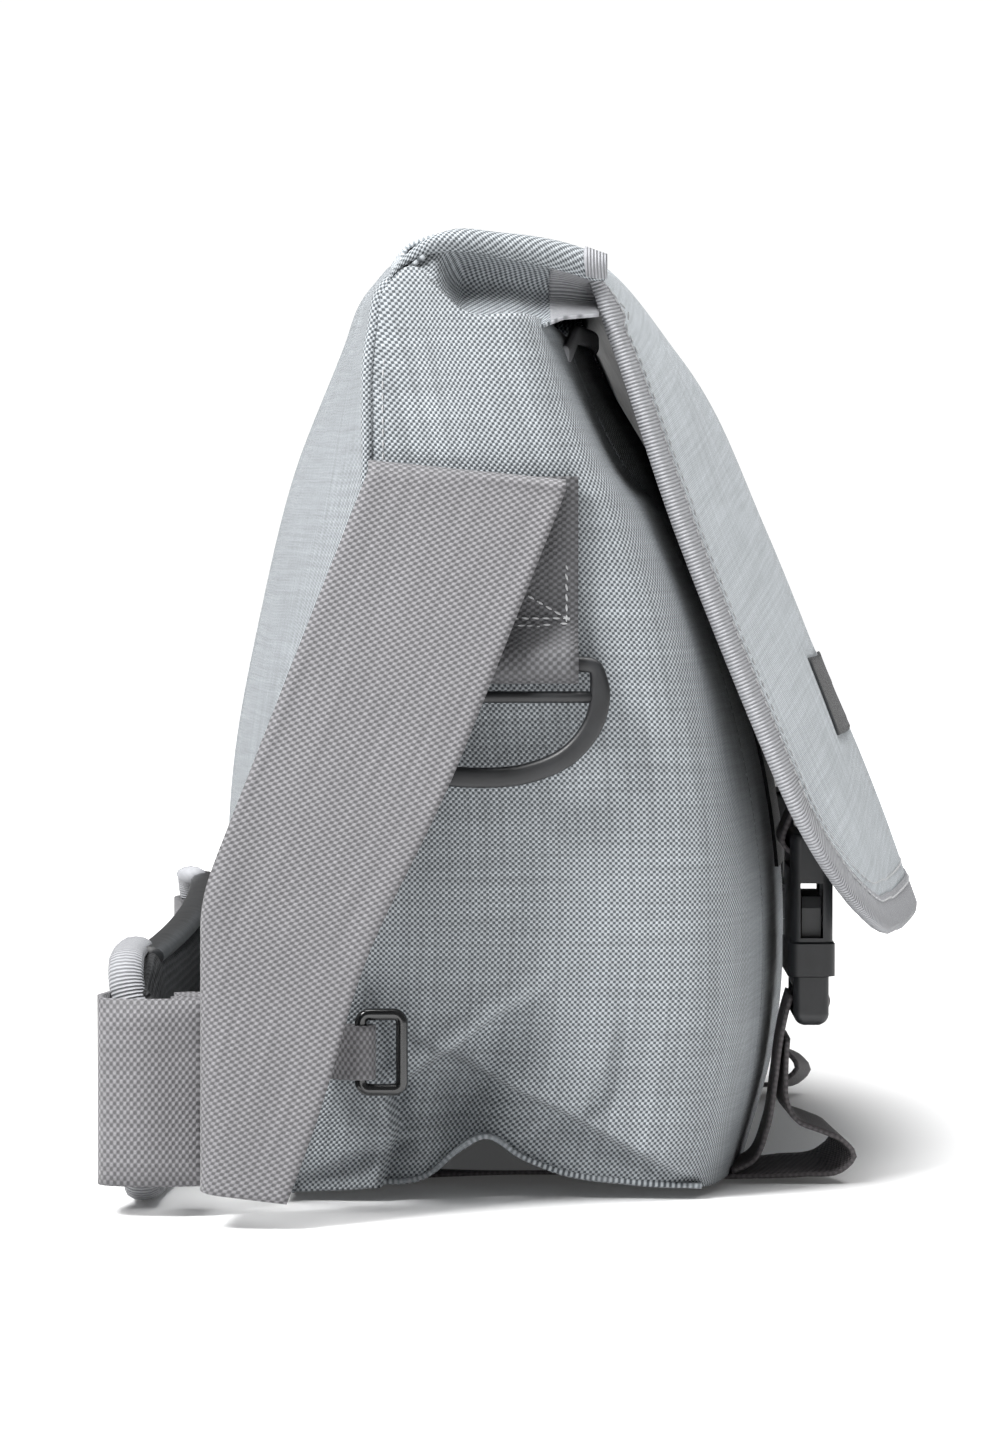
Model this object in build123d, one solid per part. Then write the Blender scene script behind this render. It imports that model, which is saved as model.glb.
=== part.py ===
"""A courier's shoulder bag: sewn shell, hinged flap, two side-release buckles, ring tabs and a 50 mm shoulder strap.

Frame: millimetres, +Z up, the flap side faces -Y, and the origin lies on the floor under the middle of the bag.
"Left" is the -X side and "right" is the +X side.
"""

import os
from math import atan, cos, degrees, hypot, radians, sin

from build123d import *

os.makedirs("parts", exist_ok=True)

# ---------------------------------------------------------------- driving dimensions
CENTRE_Y = 7.77  # moves the bag so that the origin is under the middle of its overall depth
FLOOR_GAP = 2.0  # the sewn bottom stands on the two webbing tails
CLOTH = 2.4  # shell cloth with its foam backing
LINER = 0.8
LINER_GAP = 0.4
WEB = 1.6  # thickness of heavy webbing

# Shell sections: height, half width, back seam, back crown, front seam, front crown.
SECTIONS = [
    (FLOOR_GAP, 154.0, 55.0, 59.0, -54.0, -69.5),
    (30.0, 162.0, 48.0, 71.0, -58.0, -77.5),
    (70.0, 170.0, 43.0, 76.0, -60.0, -80.0),
    (110.0, 176.0, 39.0, 75.5, -56.0, -75.0),
    (150.0, 181.0, 36.0, 69.0, -46.0, -63.0),
    (190.0, 185.0, 33.5, 58.5, -29.0, -45.0),
    (226.0, 187.0, 31.0, 43.0, -10.0, -25.0),
]
SIDE_BULGE = 5.0
BACK_TOP = (246.0, 187.0, 24.0, 31.0)  # height, half width, back seam, back crown

FLAP_HALF = 165.0
FLAP_CORNER = 42.0
FLAP_CLOTH = 1.4
FLAP_BOTTOM = 68.0
HINGE_Y, HINGE_Z = 25.0, 250.0
BINDING_WIDTH = 9.0
BINDING = 0.6
# The flap's outside line from the hinge down to the hem, at the middle and at the side edges.
FLAP_MIDDLE = [(21, 252), (-6, 253), (-26, 248.5), (-51, 222), (-74.5, 175), (-91.5, 136.5), (-108.5, 94), (-118, 66)]
FLAP_EDGE = [(21, 250), (-4, 250), (-22, 246), (-29.5, 228), (-46.5, 178), (-61.5, 140), (-78.5, 100), (-93, 66)]

STRAP_WIDTH = 50.0
STRAP_PIVOT = (8.3, 188.0)  # y and z of the fold where the shoulder strap turns over its sewn end
STRAP_LEAN = 6.0  # degrees that the hanging strap leans away from the bag
STRAP_RAKE = degrees(atan(0.4))  # degrees from vertical, towards the back
STRAP_X = 196.2  # middle of the strap's cloth at the fold

RING_BAR_Z = 141.5
RING_WIDTH = 64.0
RING_HEIGHT = 33.0
RING_THICK = 4.0
RING_Y = 4.6
RING_X = 192.0

SIDE_RING_Y, SIDE_RING_Z = 35.9, 41.0
SIDE_RING_X = 175.5
SIDE_RING_TALL, SIDE_RING_DEEP, SIDE_RING_THICK = 22.4, 14.0, 3.4

BUCKLE_X = 105.0
BUCKLE_Y = -83.0
BUCKLE_Z = 56.0  # the joint line between the two halves
FRONT_WEB_WIDTH = 25.0

PAD_TALL, PAD_THICK = 66.0, 8.0


def export(shape, name):
    """Writes one sub-part and prints its volume."""
    export_step(Pos(0, CENTRE_Y, 0) * shape, f"parts/{name}.step")
    print(f"{name}: {len(shape.solids())} solids, {shape.volume:.0f} mm3")


def mirrored(shape):
    return mirror(shape, about=Plane.YZ)


def both_sides(left, name):
    """Exports a left-hand piece and its mirror image."""
    export(left, f"{name}_left")
    export(mirrored(left), f"{name}_right")


# ---------------------------------------------------------------- sewn shell
def crescent(z, half, seam, crown, inset, thick, sign):
    """A thin bowed section: its outside arc runs seam - crown - seam, and sign points inwards along Y."""
    a, b = inset * sign, (inset + thick) * sign
    outer = [(-half + inset, seam + a), (0, crown + a), (half - inset, seam + a)]
    inner = [(half - inset, seam + b), (0, crown + b), (-half + inset, seam + b)]
    edges = [
        ThreePointArc(*outer),
        Line(outer[2], inner[0]),
        ThreePointArc(*inner),
        Line(inner[2], outer[0]),
    ]
    return Plane.XY.offset(z) * make_face(Wire(edges))


def bowed_wall(rows, inset, thick, sign):
    """A wall through rows of (height, half width, seam, crown)."""
    return loft([crescent(z, half, seam, crown, inset, thick, sign) for z, half, seam, crown in rows])


def back_rows():
    return [(z, half, back, crown) for z, half, back, crown, _, _ in SECTIONS] + [BACK_TOP]


def front_rows():
    return [(z, half, front, crown) for z, half, _, _, front, crown in SECTIONS]


def side_section(z, half, back, front, inset, thick):
    """A thin upright section of the left side, bulging outwards."""
    middle = (back + front) / 2
    outer, inner = -half + inset, -half + inset + thick
    edges = [
        ThreePointArc((outer, back), (outer - SIDE_BULGE, middle), (outer, front)),
        Line((outer, front), (inner, front)),
        ThreePointArc((inner, front), (inner - SIDE_BULGE, middle), (inner, back)),
        Line((inner, back), (outer, back)),
    ]
    return Plane.XY.offset(z) * make_face(Wire(edges))


def side_wall(inset, thick, trim=0.0):
    """The left side, between the back wall's and the front wall's inside faces."""
    return loft([
        side_section(z, half, back - trim, front + trim, inset, thick) for z, half, back, _, front, _ in SECTIONS
    ])


def make_shell():
    edge = CLOTH + 0.3
    export(bowed_wall(back_rows(), 0.0, CLOTH, -1), "back_panel")
    export(bowed_wall(front_rows(), 0.0, CLOTH, 1), "front_panel")
    both_sides(side_wall(0.0, CLOTH, edge), "side_panel")
    make_bottom()


def arch(z_foot, rise, thick, y_front, y_back, half):
    """A plate arched between a front and a back foot, along X."""
    middle = (y_front + y_back) / 2
    foot = 6.0
    under = [
        Line((y_front, z_foot), (y_front + foot, z_foot)),
        ThreePointArc((y_front + foot, z_foot), (middle, z_foot + rise), (y_back - foot, z_foot)),
        Line((y_back - foot, z_foot), (y_back, z_foot)),
        Line((y_back, z_foot), (y_back, z_foot + thick)),
        Line((y_back, z_foot + thick), (y_back - foot, z_foot + thick)),
        ThreePointArc(
            (y_back - foot, z_foot + thick), (middle, z_foot + rise + thick), (y_front + foot, z_foot + thick)
        ),
        Line((y_front + foot, z_foot + thick), (y_front, z_foot + thick)),
        Line((y_front, z_foot + thick), (y_front, z_foot)),
    ]
    return extrude(Plane.YZ * make_face(Wire(under)), amount=half, both=True)


def make_bottom():
    _, half, back, _, front, _ = SECTIONS[0]
    plate = arch(FLOOR_GAP, 12.0, CLOTH, front + CLOTH + 0.6, back - CLOTH - 1.8, half - CLOTH - 0.6)
    export(plate, "bottom_panel")


def make_lining():
    """Four thin walls of coated liner inside the shell, each clear of the next."""
    inset = CLOTH + LINER_GAP
    trim = CLOTH + LINER_GAP + LINER + 0.4
    rows = [r for r in front_rows() if r[0] > FLOOR_GAP]
    back = bowed_wall([r for r in back_rows() if r[0] > FLOOR_GAP], inset, LINER, -1)
    front = bowed_wall(rows, inset, LINER, 1)
    side = loft([
        side_section(z, half, b - trim, f + trim, inset, LINER)
        for z, half, b, _, f, _ in SECTIONS
        if z > FLOOR_GAP
    ])
    export(Compound([back, front, side, mirrored(side)]), "body_lining")


def make_mouth_binding():
    """Folded tape over the top edge of the front wall."""
    z, half, _, _, seam, crown = SECTIONS[-1]
    lift = 0.2
    cap = loft([crescent(h, half, seam, crown, -0.2, CLOTH + 0.6, 1) for h in (z + lift, z + lift + 1.2)])
    export(cap, "mouth_binding")


def make_touch_strips():
    """The soft halves of the hook-and-loop fastening, on the front wall under the flap."""
    strip = bowed_wall(front_rows(), -1.5, 1.2, 1) & (Pos(-62, -60, 128) * Box(50, 80, 90))
    export(Compound([*strip.solids(), *mirrored(strip).solids()]), "loop_strips")


# ---------------------------------------------------------------- flap
def offset_line(points, depth):
    """Moves each point of an open line inwards, square to the line, towards the bag."""
    moved = []
    for i, (y, z) in enumerate(points):
        y0, z0 = points[max(i - 1, 0)]
        y1, z1 = points[min(i + 1, len(points) - 1)]
        run = hypot(y1 - y0, z1 - z0)
        moved.append((y - (z1 - z0) / run * -depth * -1, z + (y1 - y0) / run * depth))
    return moved


def flap_band(points, depth, thick):
    outer = offset_line(points, depth)
    inner = offset_line(points, depth + thick)[::-1]
    edges = [Spline(*outer), Line(outer[-1], inner[0]), Spline(*inner), Line(inner[-1], outer[0])]
    return make_face(Wire(edges))


def flap_layer(depth, thick, half=FLAP_HALF):
    """One layer of the flap, bowed out at the middle, before its corners are cut."""
    sections = []
    for share in (-1.0, -0.55, 0.0, 0.55, 1.0):
        bow = 1 - share**2
        line = [(e[0] + (m[0] - e[0]) * bow, e[1] + (m[1] - e[1]) * bow) for e, m in zip(FLAP_EDGE, FLAP_MIDDLE)]
        sections.append(Plane.YZ.offset(half * share) * flap_band(line, depth, thick))
    return loft(sections)


def flap_outline(margin):
    """A tall block seen from the front, with the flap's round lower corners."""
    half, top = FLAP_HALF - margin, HINGE_Z + 40.0
    low = FLAP_BOTTOM + margin
    face = Plane.XZ * Pos(0, (low + top) / 2) * Rectangle(2 * half, top - low)
    block = extrude(face, amount=160, both=True)
    corners = block.edges().filter_by(Axis.Y).group_by(Axis.Z)[0]
    return fillet(corners, FLAP_CORNER - margin)


def make_flap():
    outline = flap_outline(0.0)
    ring = outline - flap_outline(BINDING_WIDTH)
    hem = extrude(Plane.XY.offset(238.0) * Rectangle(500, 500), amount=-240)
    export(flap_layer(0.0, FLAP_CLOTH) & outline, "flap_shell")
    export(flap_layer(FLAP_CLOTH + 0.1, LINER) & outline, "flap_lining")
    outside = flap_layer(-BINDING - 0.1, BINDING) & ring & hem
    inside = flap_layer(FLAP_CLOTH + LINER + 0.2, BINDING) & ring & hem
    export(Compound([*outside.solids(), *inside.solids()]), "flap_binding")
    make_label()
    make_hook_strips()


def make_label():
    """A plain woven label sewn on the flap's left half, near its side edge."""
    wide, tall = 46.0, 20.0
    block = Pos(-FLAP_HALF + 12.0 + wide / 2, -90, 131.0) * Box(wide, 140, tall)
    label = flap_layer(-0.8, 0.6) & block
    export(label, "label_patch")


def make_hook_strips():
    """The stiff halves of the hook-and-loop fastening, on the flap's lining."""
    wide, tall = 50.0, 90.0
    block = Pos(-62, -90, 128.0) * Box(wide, 140, tall)
    strip = flap_layer(FLAP_CLOTH + LINER + 0.3, 1.2) & block
    export(Compound([*strip.solids(), *mirrored(strip).solids()]), "hook_strips")


# ---------------------------------------------------------------- side-release buckles
def make_buckles():
    at = Pos(-BUCKLE_X, BUCKLE_Y, BUCKLE_Z)
    both_sides(at * buckle_socket(), "buckle_socket")
    both_sides(at * buckle_plug(), "buckle_plug")
    for side, x in (("left", -BUCKLE_X), ("right", BUCKLE_X)):
        for place, hand in (("outer", 1), ("inner", -1)):
            hand = hand if x < 0 else -hand
            export(Pos(x, BUCKLE_Y, BUCKLE_Z) * buckle_prong(hand), f"buckle_prong_{place}_{side}")
    both_sides(at * plug_webbing(), "plug_webbing")


SOCKET_WIDE, SOCKET_THICK, SOCKET_TALL = 35.0, 11.4, 38.0
CAVITY_WIDE, CAVITY_THICK, CAVITY_DEEP = 29.4, 7.4, 25.0
WEB_SLOT = 27.0


def buckle_socket():
    """The hollow half. Its mouth is at height 0 and its webbing bar is at the top."""
    body = Pos(0, 0, SOCKET_TALL / 2) * Box(SOCKET_WIDE, SOCKET_THICK, SOCKET_TALL)
    body = fillet(body.edges().filter_by(Axis.Z), 3.0)
    body = fillet(body.edges().group_by(Axis.Z)[-1], 1.6)
    collar = Pos(0, 0, 4.6) * Box(SOCKET_WIDE + 1.2, SOCKET_THICK + 1.2, 9.2)
    collar = fillet(collar.edges().filter_by(Axis.Z), 3.2)
    body += chamfer(collar.edges().group_by(Axis.Z)[-1], 0.55)
    cavity = Pos(0, 0, CAVITY_DEEP / 2 - 0.5) * Box(CAVITY_WIDE, CAVITY_THICK, CAVITY_DEEP + 1)
    window = Pos(0, 0, 17.5) * Box(SOCKET_WIDE + 4, 6.0, 14.6)
    slot = Pos(0, 0, SOCKET_TALL - 6.6) * Box(WEB_SLOT, SOCKET_THICK + 4, 5.4)
    return body - cavity - window - slot


def buckle_plug():
    """The plug's frame below the mouth, with two webbing slots and the middle guide that enters the socket."""
    wide, thick, tall = 33.0, 9.4, 13.0
    frame = Pos(0, 0, -tall / 2 - 0.3) * Box(wide, thick, tall)
    frame = fillet(frame.edges().filter_by(Axis.Z), 2.0)
    frame = fillet(frame.edges().filter_by(Axis.X).group_by(Axis.Z)[0], 3.2)
    for height in (-4.6, -9.6):
        frame -= Pos(0, 0, height) * Box(WEB_SLOT, thick + 4, 2.8)
    recess = Pos(0, 0, -7.1) * Box(WEB_SLOT, thick + 4, 2.4)
    bar = Pos(0, 0, -7.1) * Box(WEB_SLOT, 4.0, 2.4)
    guide = Pos(0, 0, 10.8) * Box(5.0, 4.6, 22.6)
    return frame - recess + bar + guide


def buckle_prong(hand):
    """One springy side arm, hinged where it leaves the plug's frame; hand 1 is the arm on the -X side."""
    outline = [(10.6, 0.3), (7.8, 0.3), (8.6, 12), (10.2, 21), (13.2, 21.6), (14, 18), (13.6, 9), (11.4, 3.6)]
    face = make_face(Polyline(*[(-hand * x, z) for x, z in outline], close=True))
    arm = extrude(Plane.XZ * face, amount=2.5, both=True)
    return fillet(arm.edges().filter_by(Axis.Y).group_by(Axis.Z)[-1], 0.8)


def plug_webbing():
    """The short bight of webbing round the plug's bar, inside its frame."""
    outer = Pos(0, 0, -7.1) * Box(FRONT_WEB_WIDTH, 7.6, 5.6)
    inner = Pos(0, 0, -7.1) * Box(FRONT_WEB_WIDTH + 2, 4.4, 2.8)
    return outer - inner


# ---------------------------------------------------------------- webbing
def web_strip(path, thick, plane, width):
    """Webbing that follows an open path in a plane, width wide square to it."""
    side = offset(path, amount=thick, side=Side.RIGHT, closed=True)
    return extrude(plane * make_face(side), amount=width / 2, both=True)


def make_front_webbing():
    """Load strand, floor tail and socket tab of each closing strap."""
    x = -BUCKLE_X
    plane = Plane.YZ.offset(x)
    load = FilletPolyline((-66.4, 3.4), (-72.6, 18.0), (-76.6, 34.0), (-76.6, 52.0), radius=12)
    both_sides(web_strip(load, 1.4, plane, FRONT_WEB_WIDTH), "front_strap")
    tail = FilletPolyline((-80.0, 17.4), (-90.0, 10.0), (-86.0, 1.5), (34.0, 1.5), radius=[4, 4])
    both_sides(web_strip(tail, -1.5, plane, FRONT_WEB_WIDTH), "front_strap_tail")
    tab = Line((-83.4, 97.2), (-80.0, 109.0))
    strip = web_strip(tab, 1.4, plane, FRONT_WEB_WIDTH)
    bight = Pos(x, BUCKLE_Y, BUCKLE_Z + SOCKET_TALL - 1.95) * socket_bight()
    both_sides(Compound([*strip.solids(), *bight.solids()]), "socket_tab")


def socket_bight():
    """Webbing wrapped round the socket's top bar."""
    outer = Box(FRONT_WEB_WIDTH, 14.8, 7.4)
    inner = Box(FRONT_WEB_WIDTH + 2, 12.0, 4.6)
    return outer - inner


def make_ring_tabs():
    """The strap's sewn end on each side: a plate on the shell, and the loop that carries the D ring."""
    wide = STRAP_WIDTH - 0.5
    top, low = STRAP_PIVOT[1], RING_BAR_Z + 4.0
    plate = Pos(-191.4, RING_Y, (top + low) / 2) * Box(1.4, wide, top - low)
    inner_face, outer_face = 3.1, 4.5
    loop = Pos(-RING_X, RING_Y, RING_BAR_Z) * Rot(90, 0, 0) * (
        Cylinder(outer_face, wide) - Cylinder(inner_face, wide + 2)
    )
    both_sides(plate + loop, "strap_anchor")


def d_ring():
    """A flat D ring with a bar that parts the webbing slot from the open bow."""
    half, bow, bar = RING_WIDTH / 2, RING_HEIGHT, 4.4
    side = 11.0
    outer = [
        Line((-half + 6, 2.0), (half - 6, 2.0)),
        ThreePointArc((half - 6, 2.0), (half - 1.8, 0.2), (half, -4.0)),
        Line((half, -4.0), (half, -side)),
        ThreePointArc((half, -side), (half * 0.72, -bow * 0.78), (0, -bow)),
        ThreePointArc((0, -bow), (-half * 0.72, -bow * 0.78), (-half, -side)),
        Line((-half, -side), (-half, -4.0)),
        ThreePointArc((-half, -4.0), (-half + 1.8, 0.2), (-half + 6, 2.0)),
    ]
    plate = make_face(Wire(outer))
    slot = Pos(0, -4.6) * Rectangle(2 * (half - bar), 5.2)
    inside = half - bar
    bow_hole = make_face(Wire([
        Line((-inside, -9.8), (inside, -9.8)),
        Line((inside, -9.8), (inside, -side - 0.4)),
        ThreePointArc((inside, -side - 0.4), (inside * 0.72, -bow * 0.70), (0, -bow + bar)),
        ThreePointArc((0, -bow + bar), (-inside * 0.72, -bow * 0.70), (-inside, -side - 0.4)),
        Line((-inside, -side - 0.4), (-inside, -9.8)),
    ]))
    ring = extrude(Plane.YZ * (plate - slot - bow_hole), amount=RING_THICK / 2, both=True)
    return ring


def make_d_rings():
    both_sides(Pos(-RING_X, RING_Y, RING_BAR_Z) * d_ring(), "d_ring")


def make_side_rings():
    """The small ring low on each side and its narrow webbing tab."""
    tall, deep, thick = SIDE_RING_TALL, SIDE_RING_DEEP, SIDE_RING_THICK
    face = RectangleRounded(deep, tall, 3.0) - RectangleRounded(deep - 6.6, tall - 5.6, 1.2)
    ring = extrude(Plane.YZ * face, amount=thick / 2, both=True)
    shift = -(deep / 2 - 1.65)
    both_sides(Pos(-SIDE_RING_X, SIDE_RING_Y + shift, SIDE_RING_Z) * ring, "side_ring")
    wide = 15.6
    outer, inner = thick / 2 + 1.6, thick / 2 + 0.7
    loop = Pos(-SIDE_RING_X, SIDE_RING_Y, SIDE_RING_Z) * (Cylinder(outer, wide) - Cylinder(inner, wide + 2))
    y = SIDE_RING_Y + outer
    run = Polyline((-SIDE_RING_X, y - 0.6), (-SIDE_RING_X, y + 2.0), (-SIDE_RING_X + 8.6, y + 8.4))
    tail = web_strip(run, 1.2, Plane.XY.offset(SIDE_RING_Z), wide)
    both_sides(loop + tail, "side_ring_tab")


# ---------------------------------------------------------------- shoulder strap
def make_shoulder_strap():
    """Hanging webbing on both sides, standing webbing and pad behind the bag, and the cam buckle on the right."""
    py, pz = STRAP_PIVOT
    wide = STRAP_WIDTH
    outline = [(py - 24.3, pz - 2.4), (py + 24.3, pz + 2.4), (76.5, 80.0), (76.5, 9.0), (53.5, 9.0)]
    face = Plane.YZ * Pos(-py, -pz) * make_face(Polyline(*outline, close=True))
    run = extrude(face, amount=0.8, both=True)
    run = Pos(-STRAP_X - 0.9, py, pz) * Rot(0, STRAP_LEAN, 0) * run
    both_sides(run, "shoulder_strap")
    make_rear_webbing()
    make_pad()
    make_cam_buckle()


def make_rear_webbing():
    """Webbing standing on its edge: an S fold beside the strap, round the pad's end, and along the pad's back."""
    near = [(-171.0, 73.0), (-171.0, 83.5), (-177.0, 73.0), (-183.0, 84.0), (-186.6, 76.0), (-189.0, 96.0)]
    near += [(-183.0, 103.0), (-170.0, 100.6), (-100.0, 96.8), (-40.0, 94.9)]
    turns = [1.4, 1.4, 1.4, 1.4, 5.0, 5.0, 8.0, 60.0]
    far = [(-x, y) for x, y in near[::-1]]
    path = FilletPolyline(*near, *far, radius=[*turns, 60.0, 60.0, *turns[::-1]])
    export(web_strip(path, 1.4, Plane.XY.offset(32.0), 48.0), "rear_webbing")


def pad_block(x_end, low, tall, grow=0.0):
    """The pad's long bowed block, standing on its edge."""
    inner, outer = -grow, PAD_THICK + grow
    end_y, middle_y = 88.6, 84.4
    front = [(-x_end, end_y + inner), (0, middle_y + inner), (x_end, end_y + inner)]
    back = [(x_end, end_y + outer), (0, middle_y + outer), (-x_end, end_y + outer)]
    edges = [ThreePointArc(*front), Line(front[2], back[0]), ThreePointArc(*back), Line(back[2], front[0])]
    return Pos(0, 0, low) * extrude(make_face(Wire(edges)), amount=tall)


def make_pad():
    export(pad_block(160.0, 0.6, PAD_TALL - 1.2), "strap_pad")
    ends = Pos(-166, 100, PAD_TALL / 2) * Box(22, 60, 90)
    skin = pad_block(176.0, 0.0, PAD_TALL, 0.7) & ends
    hollow = Pos(-158.6, 98, PAD_TALL / 2) * Box(8.0, 60, PAD_TALL - 0.8)
    skin -= pad_block(160.3, 0.4, PAD_TALL - 0.8, 0.1) & hollow
    export(Compound([*skin.solids(), *mirrored(skin).solids()]), "pad_binding")


def on_strap(down):
    """Placement on the right strap, so many millimetres below the fold: X outwards, Y across, Z up the strap."""
    py, pz = STRAP_PIVOT
    rake, lean = radians(STRAP_RAKE), radians(STRAP_LEAN)
    drop = down * cos(rake)
    x = STRAP_X + 0.9 + drop * sin(lean)
    return Pos(x, py + down * sin(rake), pz - drop * cos(lean)) * Rot(0, -STRAP_LEAN, 0) * Rot(STRAP_RAKE, 0, 0)


def make_cam_buckle():
    """A cam adjuster: a frame over the webbing, a lever that bites it, and the pin it turns on."""
    at = on_strap(72.0)
    wide, tall = 60.0, 34.0
    frame = Pos(4.0, 0, 0) * Box(6.0, wide, tall) - Pos(4.0, 0, 0) * Box(8.0, STRAP_WIDTH + 2, tall - 9.0)
    frame -= Pos(4.4, 0, 6.0) * Rot(90, 0, 0) * Cylinder(1.3, wide - 4.0)
    export(at * frame, "cam_buckle_frame")
    export(at * Pos(4.4, 0, 6.0) * Rot(90, 0, 0) * Cylinder(1.2, wide - 4.4), "cam_buckle_pin")
    lever = Pos(4.6, 0, -1.5) * Box(3.4, 48.0, 17.0) + Pos(4.4, 0, 6.0) * Rot(90, 0, 0) * Cylinder(2.6, 48.0)
    lever -= Pos(4.4, 0, 6.0) * Rot(90, 0, 0) * Cylinder(1.25, 60.0)
    export(at * lever, "cam_buckle_lever")


make_shell()
make_lining()
make_mouth_binding()
make_touch_strips()
make_flap()
make_buckles()
make_front_webbing()
make_ring_tabs()
make_d_rings()
make_side_rings()
make_shoulder_strap()
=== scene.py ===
"""Looks of a woven courier's bag: cloth, tape, webbing, pad and moulded plastic, laid on the bag's fixed frame."""

import math

import bmesh
import bpy
import numpy as np
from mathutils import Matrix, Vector


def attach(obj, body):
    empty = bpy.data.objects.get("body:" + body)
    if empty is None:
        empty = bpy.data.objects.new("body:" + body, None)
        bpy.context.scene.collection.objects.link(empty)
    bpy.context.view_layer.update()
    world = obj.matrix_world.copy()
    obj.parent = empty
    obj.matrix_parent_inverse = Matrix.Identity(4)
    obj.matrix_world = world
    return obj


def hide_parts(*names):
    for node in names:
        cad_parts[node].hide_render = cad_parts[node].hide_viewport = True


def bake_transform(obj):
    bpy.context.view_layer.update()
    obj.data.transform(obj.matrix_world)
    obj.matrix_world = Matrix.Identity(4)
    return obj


bl_info = {
    "name": "Courier bag looks",
    "version": (1, 0, 0),
    "blender": (4, 5, 0),
    "location": "View3D > Sidebar > Courier bag",
    "description": "Sews the visible cloth, webbing, pad and plastic of a courier's bag onto its frame",
    "category": "Object",
}

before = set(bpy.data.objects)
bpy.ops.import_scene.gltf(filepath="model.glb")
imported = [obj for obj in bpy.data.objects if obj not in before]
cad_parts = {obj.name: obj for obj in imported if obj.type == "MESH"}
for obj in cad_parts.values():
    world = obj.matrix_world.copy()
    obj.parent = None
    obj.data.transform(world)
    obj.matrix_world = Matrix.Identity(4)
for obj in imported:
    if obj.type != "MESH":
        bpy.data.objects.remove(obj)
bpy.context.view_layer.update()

# The pieces are drawn in millimetres with the bag's middle at depth 0; the frame's origin is this much further back.
DEPTH_SHIFT = 7.77


# ---------------------------------------------------------------- sizes and colours
def size(label, text, value):
    return bpy.props.FloatProperty(name=label, description=text, default=value, min=0.0, subtype="NONE")


def linear(code):
    """An sRGB hex colour as linear RGBA."""
    parts = [int(code[i : i + 2], 16) / 255 for i in (1, 3, 5)]
    return (*[p / 12.92 if p <= 0.04045 else ((p + 0.055) / 1.055) ** 2.4 for p in parts], 1.0)


def colour(label, text, code):
    return bpy.props.FloatVectorProperty(
        name=label, description=text, default=linear(code), size=4, min=0.0, max=1.0, subtype="COLOR"
    )


class BagSizes(bpy.types.PropertyGroup):
    thread: size("Thread", "Spacing of the shell cloth's threads, in mm", 0.74)
    rib: size("Rib", "Spacing of the binding tape's ribs, in mm", 0.95)
    web_row: size("Webbing row", "Spacing of the webbing's rows, in mm", 1.5)
    binding: size("Binding", "Width of the folded binding tape on each face, in mm", 9.6)
    stitch: size("Stitch", "Length from one stitch to the next, in mm", 3.2)
    cloth: size("Cloth", "Thickness of the shell cloth as seen at an edge, in mm", 1.3)


class BagColours(bpy.types.PropertyGroup):
    shell_light: colour("Shell, light thread", "Light thread of the shell cloth", "#a2a7ab")
    shell_dark: colour("Shell, dark thread", "Dark thread of the shell cloth", "#42474b")
    # The flap's two thread colours are painted paler than the shell's for the light that falls on the flap from
    # above: painted light, not wear.
    flap_light_painted_lit: colour("Flap, light thread", "Light thread of the flap, worn paler than the shell", "#c0c5c9")
    flap_dark_painted_lit: colour("Flap, dark thread", "Dark thread of the flap", "#7c8286")
    tape: colour("Binding tape", "Ribbed binding tape", "#9a9b9f")
    strap: colour("Strap webbing", "Shoulder strap", "#7a797c")
    anchor: colour("Anchor webbing", "Webbing sewn to the sides", "#5b5b5e")
    closing: colour("Closing webbing", "Narrow straps of the flap", "#5a5557")
    plastic: colour("Moulded plastic", "Rings and buckles", "#17181a")
    thread_grey: colour("Thread", "Sewing thread", "#b9babc")


def sizes():
    return bpy.context.scene.bag_sizes


def colours():
    return bpy.context.scene.bag_colours


# ---------------------------------------------------------------- drawing helpers
def to_frame(points):
    """Millimetres of the drawing as metres of the frame."""
    return (np.asarray(points, float) + (0.0, DEPTH_SHIFT, 0.0)) / 1000


def ease(value):
    value = np.clip(value, 0.0, 1.0)
    return value * value * (3 - 2 * value)


def cubic(known, values, at):
    """A smooth line through (known, values), read at the given places."""
    known, values = np.asarray(known, float), np.asarray(values, float)
    slope = np.gradient(values, known, axis=0)
    at = np.clip(at, known[0], known[-1])
    i = np.clip(np.searchsorted(known, at) - 1, 0, len(known) - 2)
    span = known[i + 1] - known[i]
    t = (at - known[i]) / span
    if values.ndim > 1:
        t, span = t[..., None], span[..., None]
    a, b = 1 + 2 * t, t * (1 - t)
    return (
        a * (1 - t) ** 2 * values[i]
        + b * (1 - t) * span * slope[i]
        + t * t * (3 - 2 * t) * values[i + 1]
        - b * t * span * slope[i + 1]
    )


def lengths(points, axis=0):
    """Distances from the first point, along a line of points or along a grid's columns or rows."""
    step = np.linalg.norm(np.diff(points, axis=axis), axis=-1)
    return np.insert(np.cumsum(step, axis=axis), 0, 0.0, axis=axis)


def read_line(at, length, points):
    """The line's points at the given distances along it."""
    return np.stack([np.interp(at, length, points[:, k]) for k in range(points.shape[1])], axis=1)


def smooth_line(points, count):
    """Points spaced evenly along a smooth line through the given ones."""
    points = np.asarray(points, float)
    run = lengths(points)
    fine = cubic(run, points, np.linspace(0, run[-1], 40 * len(points)))
    length = lengths(fine)
    return read_line(np.linspace(0, length[-1], count), length, fine)


def unit(vectors):
    return vectors / np.maximum(np.linalg.norm(vectors, axis=-1, keepdims=True), 1e-9)


def grid_normals(grid):
    return unit(np.cross(np.gradient(grid, axis=0), np.gradient(grid, axis=1)))


def cloth_map(grid):
    """Distances along the sheet both ways, in mm, so that a weave keeps its real size."""
    across = lengths(grid, 1)
    return np.stack([across - across.mean(), lengths(grid)], axis=2)


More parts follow.
